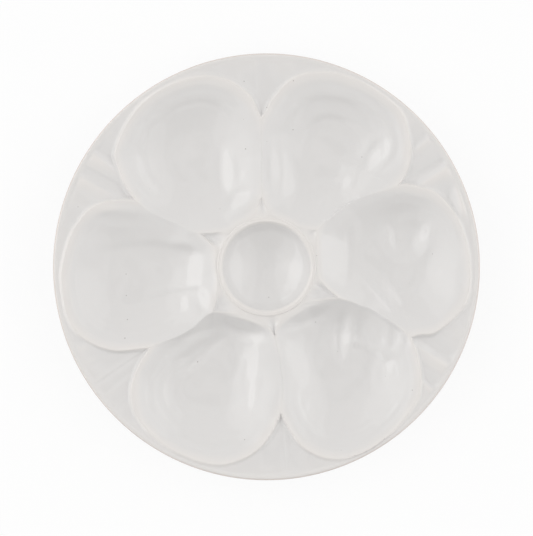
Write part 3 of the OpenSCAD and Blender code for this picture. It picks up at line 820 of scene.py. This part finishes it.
# Rows of the rim's profile that belong to the upper side
BEAD_TOP_ROWS = 9
upper = fill(*raster([*well_grids, band_grid, seam_grid, cup_grid, outer_loop[None], bead_grid[:BEAD_TOP_ROWS]]))
print("height in the middle of the cup", round(float(look_up(np.zeros(1), np.zeros(1))[0]), 2))

# %% [markdown]
# ## The underside
#
# Nobody sees it in the photograph, but a plate gets turned over. A copy of the
# upper side, moved down, would be thin on the steep walls. So a ball as large
# as the wall is thick is rolled along below it, which keeps the thickness even.
# Where the foot ring joins, the underside is drawn level.

# %% Underside
# Half of the level land over the foot ring, and of the slope beside it, in shares of the ring's width
LAND_SHARE, LAND_SLOPE_SHARE = 0.75, 0.5
# Distances in from the edge: where the wall grows to its full thickness, where
# the rim's underside ends and over what it blends, and where the heights end
THICK_W, BLEND_FROM, BLEND_W, EDGE_KEEP = 6, 9, 6, 1.5
# Places at which the ball is felt: shares of its radius, each in eight directions
PROBES = [(a, turn) for a in (0.0, 0.5, 0.85) for turn in np.arange(8) * np.pi / 4]


def under_height(x, y):
    """The lowest of (height - t*(1-a^2)^0.5) at places a*t aside: a ball of the wall's radius t rolled below."""
    r = np.hypot(x, y)
    t = mix(wall_t, rim_t, smooth(1 - (plate_r - r) / THICK_W)) + glaze_t
    found = []
    for a, turn in PROBES:
        px, py = x + a * t * np.cos(turn), y + a * t * np.sin(turn)
        pull = np.minimum(1.0, (plate_r - EDGE_KEEP) / np.maximum(np.hypot(px, py), 1e-6))
        found.append(look_up(px * pull, py * pull) - t * np.sqrt(1 - a * a))
    return np.min(found, axis=0)


print("places felt below each point", len(PROBES))

# %% [markdown]
# ### Rings of the underside
#
# The rings run in from the rim with the same columns as the band, so the two
# join at the edge. They lie closer together at the foot, where the underside
# changes its slope. A square lattice would fit neither the rim nor the foot.

# %% Rings from the rim to the middle
foot_r = foot_out_r - foot_w / 2
land_in, land_out = foot_r - foot_w * LAND_SHARE, foot_r + foot_w * LAND_SHARE
land_slope = foot_w * LAND_SLOPE_SHARE
under_r = np.concatenate([
    np.linspace(plate_r - RIM_UNDER_W, land_out + land_slope, 13)[1:],
    np.linspace(land_out + land_slope, land_out, 4)[1:],
    [land_in],
    np.linspace(land_in, land_in - land_slope, 4)[1:],
    np.linspace(land_in - land_slope, 0, 13)[1:],
])[:, None]
under_x, under_y = under_r * np.cos(out_angle), under_r * np.sin(out_angle)
near_rim = smooth((under_r - (plate_r - BLEND_FROM)) / BLEND_W)
off_land = smooth(np.maximum(under_r - land_out, land_in - under_r) / land_slope)
under_z = mix(under_height(under_x, under_y), bead[-1, 1], near_rim)
under_z = mix(foot_h, under_z, off_land)
under_grid = np.stack([under_x, under_y, under_z], axis=2)
print("underside from", round(float(under_z.min()), 2), "to", round(float(under_z.max()), 2), "mm up")

# %% [markdown]
# ## From grids to one closed skin
#
# All the surfaces are grids of points that close on themselves in one
# direction. They meet along shared lines, so making equal points one gives a
# watertight skin. A remesh would close it too, but would blunt the lips. Faces
# keep the grids' own turn, so all of them look outward.

# %% Welding


def grid_faces(rows, columns, first, flip):
    """Two triangles for each cell of a grid whose columns close into a ring."""
    i, j = np.meshgrid(np.arange(rows - 1), np.arange(columns), indexing="ij")
    a, b = i * columns + j, i * columns + (j + 1) % columns
    c, d = a + columns, b + columns
    quads = np.stack([a, b, d, c] if not flip else [a, c, d, b], axis=-1).reshape(-1, 4)
    return np.vstack([quads[:, [0, 1, 2]], quads[:, [0, 2, 3]]]) + first


def weld(grids):
    """One list of points and triangles; equal points become one, and flat slivers at poles go."""
    points, faces, first = [], [], 0
    for grid, flip in grids:
        rows, columns = grid.shape[:2]
        points.append(grid.reshape(-1, 3))
        faces.append(grid_faces(rows, columns, first, flip))
        first += rows * columns
    points, faces = np.vstack(points), np.vstack(faces)
    _, index, back = np.unique(np.round(points, 5), axis=0, return_index=True, return_inverse=True)
    faces = back.reshape(-1)[faces]
    sound = (faces[:, 0] != faces[:, 1]) & (faces[:, 1] != faces[:, 2]) & (faces[:, 2] != faces[:, 0])
    return points[index], faces[sound]


def open_edges(faces):
    """How many edges don't have exactly two faces: 0 on a closed mesh."""
    edges = np.sort(np.vstack([faces[:, [0, 1]], faces[:, [1, 2]], faces[:, [2, 0]]]), axis=1)
    return int((np.unique(edges, axis=0, return_counts=True)[1] != 2).sum())


print("triangles of one well", len(grid_faces(*well_grids[0].shape[:2], 0, True)))

# %% [markdown]
# ### The whole skin
#
# Eight grids make the plate: six wells, one side that runs from the outer lips
# over the rim to the middle of the underside, and one that runs from the inner
# lips down into the cup. Each could be an object of its own, but then the seams
# would show in the glaze.

# %% Wells, rim side and cup side as one
crest_lift = np.array([0.0, 0.0, lip_bead_h])
rim_side = np.concatenate([(outer_loop + crest_lift)[None], band_grid, bead_grid, under_grid])
cup_side = np.concatenate([(inner_loop + crest_lift)[None], seam_grid, cup_grid])
plate_points, plate_faces = weld(
    [(grid, True) for grid in well_grids] + [(rim_side, True), (cup_side, False)]
)
print(len(plate_faces), "triangles,", open_edges(plate_faces), "open edges")

# %% [markdown]
# ## Unevenness
#
# Pressing, drying and firing leave the whole plate uneven by a tenth of a
# millimetre or two. One doesn't see that as form, only as reflections that
# aren't quite straight. A noise texture would do it in the material alone.
# Slow sine waves move the mesh itself, and fade out at the rim and the foot,
# which are turned and ground true.

# %% Slow waves over the whole plate
# Wave: its length in mm, direction in degrees, height in mm and start
uneven_waves = [
    (31.0, 12, 0.09, 0.4), (23.0, 71, 0.08, 2.1), (17.0, 133, 0.05, 4.0),
    (13.0, 38, 0.035, 1.2), (9.5, 101, 0.020, 5.1), (7.1, 164, 0.012, 3.3),
]
# Distances over which the waves fade out, beside the foot ring and at the edge
FOOT_FADE, EDGE_FADE = 4, 8
# The upper side has nothing that lies lower than this
upper_lowest = floor_z - 2


def unevenness(x, y):
    """Sum of h*sin(2*pi*s/length + start) over the waves, s being the distance along the wave's direction."""
    total = np.zeros(np.shape(x))
    for wave_length, turn, height, start in uneven_waves:
        way = x * np.cos(np.radians(turn)) + y * np.sin(np.radians(turn))
        total = total + height * np.sin(2 * np.pi * way / wave_length + start)
    return total


plan_r = np.hypot(plate_points[:, 0], plate_points[:, 1])
off_foot = smooth((np.abs(plan_r - foot_r) - foot_w * LAND_SHARE) / FOOT_FADE)
off_rim = smooth((plate_r - plan_r) / EDGE_FADE)
below = plate_points[:, 2] < upper_lowest
waves = unevenness(plate_points[:, 0], plate_points[:, 1])
plate_points[:, 2] += waves * off_rim * np.where(below, off_foot, 1.0)
print("unevenness from", round(float(waves.min()), 2), "to", round(float(waves.max()), 2), "mm")

# %% [markdown]
# ## The plate as a mesh
#
# The skin becomes one smooth-shaded object. `foreach_set` copies whole arrays,
# so a mesh of this size takes a blink, where adding vertices one by one would
# take minutes. The object stays at the origin, as the construction's nodes do.

# %% Plate


def make_object(name, points_mm, faces):
    """A smooth-shaded mesh object at the origin, with its place in its mesh."""
    mesh = bpy.data.meshes.new(name)
    mesh.vertices.add(len(points_mm))
    mesh.vertices.foreach_set("co", (points_mm * MM).astype(np.float32).ravel())
    mesh.loops.add(len(faces) * 3)
    mesh.loops.foreach_set("vertex_index", faces.astype(np.int32).ravel())
    mesh.polygons.add(len(faces))
    mesh.polygons.foreach_set("loop_start", np.arange(0, len(faces) * 3, 3, dtype=np.int32))
    mesh.update(calc_edges=True)
    mesh.validate()
    mesh.polygons.foreach_set("use_smooth", np.ones(len(mesh.polygons), bool))
    piece = bpy.data.objects.new(name, mesh)
    bpy.context.collection.objects.link(piece)
    return piece


glazed_plate = make_object("glazed_plate", plate_points, plate_faces)
corners = plate_points[plate_faces]
volume = np.einsum("ij,ij->i", corners[:, 0], np.cross(corners[:, 1], corners[:, 2])).sum() / 6
print("glazed plate:", len(glazed_plate.data.polygons), "triangles,", round(volume / 1000, 1), "cm3")

# %% [markdown]
# ## Material helpers
#
# A material is a small net of nodes. Colours are written as sRGB hex values,
# as a colour card gives them, and turned to the linear values that Blender
# calculates with. The nodes could be wired by hand in the shader editor. As
# code they can be read from top to bottom.

# %% Colours and nodes


def to_linear(hex_colour):
    """An sRGB hex colour as linear RGBA."""
    srgb = np.array([int(hex_colour[i:i + 2], 16) / 255 for i in (1, 3, 5)])
    linear = np.where(srgb <= 0.04045, srgb / 12.92, ((srgb + 0.055) / 1.055) ** 2.4)
    return (*linear, 1.0)


def add_node(tree, kind, settings=(), feeds=()):
    """Adds one node: settings are its attributes or plain sockets, feeds the sockets that a link fills."""
    node = tree.nodes.new(kind)
    for key, value in dict(settings).items():
        if isinstance(key, str) and hasattr(node, key):
            setattr(node, key, value)
        else:
            node.inputs[key].default_value = value
    for key, source in dict(feeds).items():
        tree.links.new(source, node.inputs[key])
    return node


def new_material(name):
    """An empty material and its tree of nodes."""
    material = bpy.data.materials.new(name)
    material.use_nodes = True
    material.node_tree.nodes.clear()
    return material, material.node_tree


print("mid grey #808080 is", round(float(to_linear("#808080")[0]), 3), "in linear light")

# %% [markdown]
# ## Tones of the glaze
#
# Clear feldspar glaze isn't the same all over. Where it pools it is a trace
# greyer. Over the lips, the ring and the edge it runs off thin, and the warmer
# body shows through. The lips, the ridges, the ring and the top of the rim are
# also painted lighter than the rest: a painted highlight on the crests. These
# could be painted on a UV map. Read from the place on the plate they need no
# map, and stay where they are when the plate turns.

# %% Pooling, thin lips and thin edge
# Colour sockets of a Mix node: the first, the second and the result
MIX_A, MIX_B, MIX_OUT = 6, 7, 2
# Height from which the glaze thins and the crests are painted lighter, a painted highlight, and distances in from the
# edge between which it thins
THIN_AND_LIT_FROM, EDGE_FROM, EDGE_TO = 20.6, 1.2, 0.3


def pooled(tree, place):
    """Two greys a trace apart, mixed by a noise of some 40 mm."""
    pooling = add_node(tree, "ShaderNodeTexNoise", {"Scale": 25.0, "Detail": 1.0}, {"Vector": place})
    tone = add_node(tree, "ShaderNodeMix", {
        "data_type": "RGBA", MIX_A: to_linear("#E2E0DF"), MIX_B: to_linear("#E0DEDD"),
    }, {"Factor": pooling.outputs["Fac"]})
    return tone.outputs[MIX_OUT]


def thin_glaze_and_painted_highlight(tree, place, colour):
    """A smooth step of the height, from the ridges' sag up to the top of the ring, towards a warmer and lighter
    white: the glaze runs thinner there, and the lighter tone is a painted highlight on the crests.
    """
    parts = add_node(tree, "ShaderNodeSeparateXYZ", {}, {"Vector": place})
    thin_and_lit_share = add_node(tree, "ShaderNodeMapRange", {
        "interpolation_type": "SMOOTHSTEP", "From Min": THIN_AND_LIT_FROM * MM, "From Max": cup_h * MM,
        "To Min": 0.0, "To Max": 1.0,
    }, {"Value": parts.outputs["Z"]})
    # The warmer white is also lighter: a painted highlight on the crests.
    warmed_and_lit = add_node(tree, "ShaderNodeMix", {
        "data_type": "RGBA", MIX_B: to_linear("#E8E4E1"),
    }, {"Factor": thin_and_lit_share.outputs["Result"], MIX_A: colour})
    return warmed_and_lit.outputs[MIX_OUT]


def warm_edge(tree, place, colour):
    """A smooth step of the distance from the axis, over the outermost millimetre, towards the body's tone."""
    flat = add_node(tree, "ShaderNodeVectorMath", {"operation": "MULTIPLY", 1: (1, 1, 0)}, {0: place})
    from_axis = add_node(tree, "ShaderNodeVectorMath", {"operation": "LENGTH"}, {0: flat.outputs["Vector"]})
    edge = add_node(tree, "ShaderNodeMapRange", {
        "interpolation_type": "SMOOTHSTEP", "To Min": 0.0, "To Max": 0.6,
        "From Min": (plate_r - EDGE_FROM) * MM, "From Max": (plate_r - EDGE_TO) * MM,
    }, {"Value": from_axis.outputs["Value"]})
    edged = add_node(tree, "ShaderNodeMix", {
        "data_type": "RGBA", MIX_B: to_linear("#DDCFC6"),
    }, {"Factor": edge.outputs["Result"], MIX_A: colour})
    return edged.outputs[MIX_OUT]


# Above that height the crests are also painted lighter, a painted highlight.
print("glaze thins from", round(plate_r - EDGE_FROM, 1), "mm off the axis, and from", THIN_AND_LIT_FROM, "mm up")

# %% [markdown]
# ## Specks of iron
#
# A few grains of iron burn out of the body and leave dark pinholes, some
# tenths of a millimetre wide. An image would repeat. A cell pattern puts one
# grain in the middle of a cell, a lot drawn for each cell decides whether it
# gets one, and a second lot gives its size.

# %% Specks
# Cells to a metre, and the chance that one holds a speck
SPECK_CELLS, SPECK_CHANCE = 72.0, 0.16
# Smallest size of a speck and how much larger it may be; at size 1, the dark
# core and the end of the soft border in shares of a cell; and how dark it is
SPECK_LEAST, SPECK_SPREAD = 0.3, 1.1
SPECK_CORE, SPECK_END, SPECK_DARK = 0.008, 0.028, 0.5


def specked(tree, place, colour):
    """Dark where the distance from the middle of a chosen cell is small, with a soft border."""
    cells = add_node(tree, "ShaderNodeTexVoronoi", {
        "voronoi_dimensions": "2D", "Scale": SPECK_CELLS}, {"Vector": place})
    lot = add_node(tree, "ShaderNodeSeparateColor", {}, {"Color": cells.outputs["Color"]})
    chosen = add_node(tree, "ShaderNodeMath", {
        "operation": "LESS_THAN", 1: SPECK_CHANCE}, {0: lot.outputs["Red"]})
    size = add_node(tree, "ShaderNodeMath", {
        "operation": "MULTIPLY_ADD", 1: SPECK_SPREAD, 2: SPECK_LEAST}, {0: lot.outputs["Green"]})
    share = add_node(tree, "ShaderNodeMath", {
        "operation": "DIVIDE"}, {0: cells.outputs["Distance"], 1: size.outputs["Value"]})
    speck = add_node(tree, "ShaderNodeMapRange", {
        "interpolation_type": "SMOOTHSTEP",
        "From Min": SPECK_CORE, "From Max": SPECK_END, "To Min": SPECK_DARK, "To Max": 0.0,
    }, {"Value": share.outputs["Value"]})
    iron = add_node(tree, "ShaderNodeMath", {
        "operation": "MULTIPLY"}, {0: chosen.outputs["Value"], 1: speck.outputs["Result"]})
    dotted = add_node(tree, "ShaderNodeMix", {
        "data_type": "RGBA", MIX_B: to_linear("#6B5D52"),
    }, {"Factor": iron.outputs["Value"], MIX_A: colour})
    return dotted.outputs[MIX_OUT]


print("one cell in", round(1 / SPECK_CHANCE), "of", round(1 / SPECK_CELLS / MM, 1), "mm holds a speck")

# %% [markdown]
# ## Glazed and bare porcelain
#
# Hard-paste porcelain is fired to a dense, faintly grey white body, and the
# glaze is melted onto it. The eye gets a soft diffuse white, a crisp thin
# reflection on top and, close up, a very slight ripple. Real glass over a real
# body would be two shells and a slow render. A diffuse base under a clear
# reflection of index 1.5 looks the same. The sole of the foot is ground on a
# wheel after firing: matt, a little darker, with a fine grit.

# %% Porcelain


def glazed_porcelain():
    """Hard-paste porcelain under a clear glossy glaze, with a ripple of some 11 mm."""
    material, tree = new_material("Glazed_hard_paste_porcelain")
    place = add_node(tree, "ShaderNodeTexCoord").outputs["Object"]
    ripple = add_node(tree, "ShaderNodeTexNoise", {"Scale": 90.0, "Detail": 2.0}, {"Vector": place})
    bump = add_node(tree, "ShaderNodeBump", {
        "Strength": 0.12, "Distance": 0.2 * MM}, {"Height": ripple.outputs["Fac"]})
    # Lips, ridges, ring and rim top painted lighter here: a painted highlight, with the warmer tone of thinner glaze.
    colour = thin_glaze_and_painted_highlight(tree, place, pooled(tree, place))
    colour = warm_edge(tree, place, specked(tree, place, colour))
    shader = add_node(tree, "ShaderNodeBsdfPrincipled", {
        "Roughness": 0.02, "IOR": 1.5}, {"Base Color": colour, "Normal": bump.outputs["Normal"]})
    add_node(tree, "ShaderNodeOutputMaterial", {}, {"Surface": shader.outputs["BSDF"]})
    return material


def bare_porcelain():
    """Unglazed porcelain, ground flat; its grit is drawn 0.4 mm wide, coarser than the real one, so that it shows."""
    material, tree = new_material("Ground_unglazed_porcelain")
    place = add_node(tree, "ShaderNodeTexCoord").outputs["Object"]
    grit = add_node(tree, "ShaderNodeTexNoise", {"Scale": 2500.0, "Detail": 3.0}, {"Vector": place})
    bump = add_node(tree, "ShaderNodeBump", {
        "Strength": 0.3, "Distance": 0.1 * MM}, {"Height": grit.outputs["Fac"]})
    shader = add_node(tree, "ShaderNodeBsdfPrincipled", {
        "Base Color": to_linear("#D9D0C4"), "Roughness": 0.7, "IOR": 1.5}, {"Normal": bump.outputs["Normal"]})
    add_node(tree, "ShaderNodeOutputMaterial", {}, {"Surface": shader.outputs["BSDF"]})
    return material


porcelain = glazed_porcelain()
biscuit = bare_porcelain()
glazed_plate.data.materials.append(porcelain)
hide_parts("porcelain_body", "glaze_coat")
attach(glazed_plate, "root")
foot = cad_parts["foot_ring"]
foot.material_slots[0].material = biscuit
print("nodes in the glaze", len(porcelain.node_tree.nodes), "and on the foot", len(biscuit.node_tree.nodes))

# %% [markdown]
# ## Table
#
# The plate lies on a white paper sweep that melts into a white background. A
# bright lamp on the paper would wash out the plate too. Instead the paper is
# a plain diffuse white for the lamps and the glaze, and nearly full white only
# where the camera looks at it, so it keeps the plate's faint shadow.

# %% Table
# Half the table's width in metres, and the share of the camera's view of it that is plain white
TABLE_HALF = 3.0
PAPER_GLOW = 0.9
edge_points = [(x * TABLE_HALF, y * TABLE_HALF, 0) for x, y in ((-1, -1), (1, -1), (1, 1), (-1, 1))]
pale = bpy.data.meshes.new("table_top")
pale.from_pydata(edge_points, [], [(0, 1, 2, 3)])
table = bpy.data.objects.new("table_top", pale)
bpy.context.collection.objects.link(table)


def white_sweep():
    """White paper that the camera sees as full white, apart from the plate's shadow."""
    material, tree = new_material("White_paper_sweep")
    paper = add_node(tree, "ShaderNodeBsdfDiffuse", {"Color": to_linear("#F4F4F4")})
    glow = add_node(tree, "ShaderNodeEmission", {"Color": to_linear("#FFFFFF"), "Strength": 1.0})
    path = add_node(tree, "ShaderNodeLightPath")
    seen = add_node(tree, "ShaderNodeMath", {
        "operation": "MULTIPLY", 1: PAPER_GLOW}, {0: path.outputs["Is Camera Ray"]})
    both = add_node(tree, "ShaderNodeMixShader", {}, {0: seen.outputs[0], 1: paper.outputs[0], 2: glow.outputs[0]})
    add_node(tree, "ShaderNodeOutputMaterial", {}, {"Surface": both.outputs[0]})
    return material


table.data.materials.append(white_sweep())
print("table", 2 * TABLE_HALF, "m wide")

# %% [markdown]
# ## Lamps
#
# Two long strip lights hang beside the plate, 50 and 55 degrees from overhead,
# and they are what the facets mirror. Round lamps would give round spots, and
# the photograph has long narrow ones. Each strip's power is worked out from
# its brightness, so a change of its size doesn't change how bright it looks.

# %% Strip lights
# Distance of both lamps from the plate and their length, in metres
LAMP_AWAY = 1.4
STRIP_LENGTH = 3.0


def soft_box(name, way, width, level):
    """A rectangular light in a direction, aimed at the origin; its power is pi*area*brightness."""
    light = bpy.data.lights.new(name, "AREA")
    light.shape = "RECTANGLE"
    light.size, light.size_y = STRIP_LENGTH, width
    light.energy = np.pi * STRIP_LENGTH * width * level
    lamp = bpy.data.objects.new(name, light)
    bpy.context.collection.objects.link(lamp)
    place = np.array(way) * LAMP_AWAY
    lamp.rotation_euler = Vector(-place).to_track_quat("-Z", "Y").to_euler()
    lamp.location = place
    return lamp


left_strip = soft_box("left_strip", (-0.750, 0.150, 0.643), 0.30, 1.15)
right_panel = soft_box("right_panel", (0.815, 0.070, 0.574), 0.34, 0.75)
print("strip lights of", round(left_strip.data.energy, 2), "and", round(right_panel.data.energy, 2), "W")

# %% [markdown]
# ## The studio around the plate
#
# Glaze mirrors the whole room, so the room is part of the picture. Pale walls
# stand at both sides. Overhead, from end to end, the ceiling is dimmer, and
# in its middle hangs the camera in a dark hood, which makes level places
# greyer than sloped ones. Low down on the near side there is little light, so
# walls that face it turn dark, and that draws the relief. A glow lies around
# each strip light. A photographed studio would bring a picture of strange
# things along; a few smooth steps over the direction give only what is needed.

# %% Studio walls
# Levels of the side walls and the ceiling, and where (x of the direction) and how softly they meet
side_level, ceiling_level, side_from, side_soft = 1.08, 0.51, 0.37, 0.006
# The camera's hood: its level, half its angle and its soft border, in degrees
hood_level, hood_angle, hood_soft = 0.05, 3.5, 0.3
# Share of the light that is left low on the near side, and y of the directions between which it fades
low_share, low_from, low_to = 0.03, -1.0, -0.62
# Glow around a strip light: how far it reaches in degrees, its direction and its strength
GLOW_ANGLE = 27
glows = [(np.array([-0.77, 0.07, 0.64]), 0.85), (np.array([0.81, 0.10, 0.57]), 0.55)]


def studio_walls():
    """Level by direction: the walls' and ceiling's levels, times the low side's share, plus the glows."""
    world = bpy.data.worlds.new("studio_walls")
    world.use_nodes = True
    tree = world.node_tree
    way = add_node(tree, "ShaderNodeTexCoord").outputs["Generated"]
    parts = add_node(tree, "ShaderNodeSeparateXYZ", {}, {"Vector": way})
    sideways = add_node(tree, "ShaderNodeMath", {"operation": "ABSOLUTE"}, {0: parts.outputs["X"]})
    hood = add_node(tree, "ShaderNodeMapRange", {
        "interpolation_type": "SMOOTHSTEP", "To Min": ceiling_level, "To Max": hood_level,
        "From Min": np.cos(np.radians(hood_angle + hood_soft)),
        "From Max": np.cos(np.radians(hood_angle - hood_soft)),
    }, {"Value": parts.outputs["Z"]})
    sides = add_node(tree, "ShaderNodeMapRange", {
        "interpolation_type": "SMOOTHSTEP", "To Max": side_level,
        "From Min": side_from - side_soft, "From Max": side_from + side_soft,
    }, {"Value": sideways.outputs["Value"], "To Min": hood.outputs["Result"]})
    low = add_node(tree, "ShaderNodeMapRange", {
        "interpolation_type": "SMOOTHSTEP",
        "From Min": low_from, "From Max": low_to, "To Min": low_share, "To Max": 1.0,
    }, {"Value": parts.outputs["Y"]})
    walls = add_node(tree, "ShaderNodeMath", {
        "operation": "MULTIPLY"}, {0: sides.outputs["Result"], 1: low.outputs["Result"]})
    level = walls.outputs["Value"]
    for aim, glow in glows:
        facing = add_node(tree, "ShaderNodeVectorMath", {
            "operation": "DOT_PRODUCT", 1: aim / np.linalg.norm(aim)}, {0: way})
        halo = add_node(tree, "ShaderNodeMapRange", {
            "interpolation_type": "SMOOTHSTEP",
            "From Min": np.cos(np.radians(GLOW_ANGLE)), "From Max": 1.0, "To Min": 0.0, "To Max": glow,
        }, {"Value": facing.outputs["Value"]})
        total = add_node(tree, "ShaderNodeMath", {"operation": "ADD"}, {0: level, 1: halo.outputs["Result"]})
        level = total.outputs["Value"]
    tree.links.new(level, tree.nodes["Background"].inputs["Strength"])
    tree.nodes["Background"].inputs["Color"].default_value = to_linear("#FDFDFC")
    return world


bpy.context.scene.world = studio_walls()
print("world of", len(bpy.context.scene.world.node_tree.nodes), "nodes")

# %% [markdown]
# ## Camera
#
# The photograph was taken from straight above. With a wide lens close by, the
# walls of the outer wells would lean outwards, which they don't, so a long
# lens hangs far up. Its height follows from the plate's width in the picture,
# and its place from the plate's middle, which lies a little off the middle of
# the picture. The Standard view leaves the colours as they are.

# %% Camera
PHOTO_W, PHOTO_H = 533, 536
plate_px_x, plate_px_y, plate_px_r = 266.5, 266.8, 213.6
metres_per_px = plate_r * MM / plate_px_r
lens = bpy.data.cameras.new("overhead")
lens.lens, lens.sensor_width, lens.sensor_fit = 180.0, 36.0, "HORIZONTAL"
camera = bpy.data.objects.new("overhead", lens)
bpy.context.collection.objects.link(camera)
distance = PHOTO_W * metres_per_px * lens.lens / lens.sensor_width
camera.location = (
    (PHOTO_W / 2 - plate_px_x) * metres_per_px,
    (plate_px_y - PHOTO_H / 2) * metres_per_px,
    rim_h * MM + distance,
)
bpy.context.scene.camera = camera
bpy.context.scene.view_settings.view_transform = "Standard"
print("camera", round(camera.location.z, 3), "m above the table")
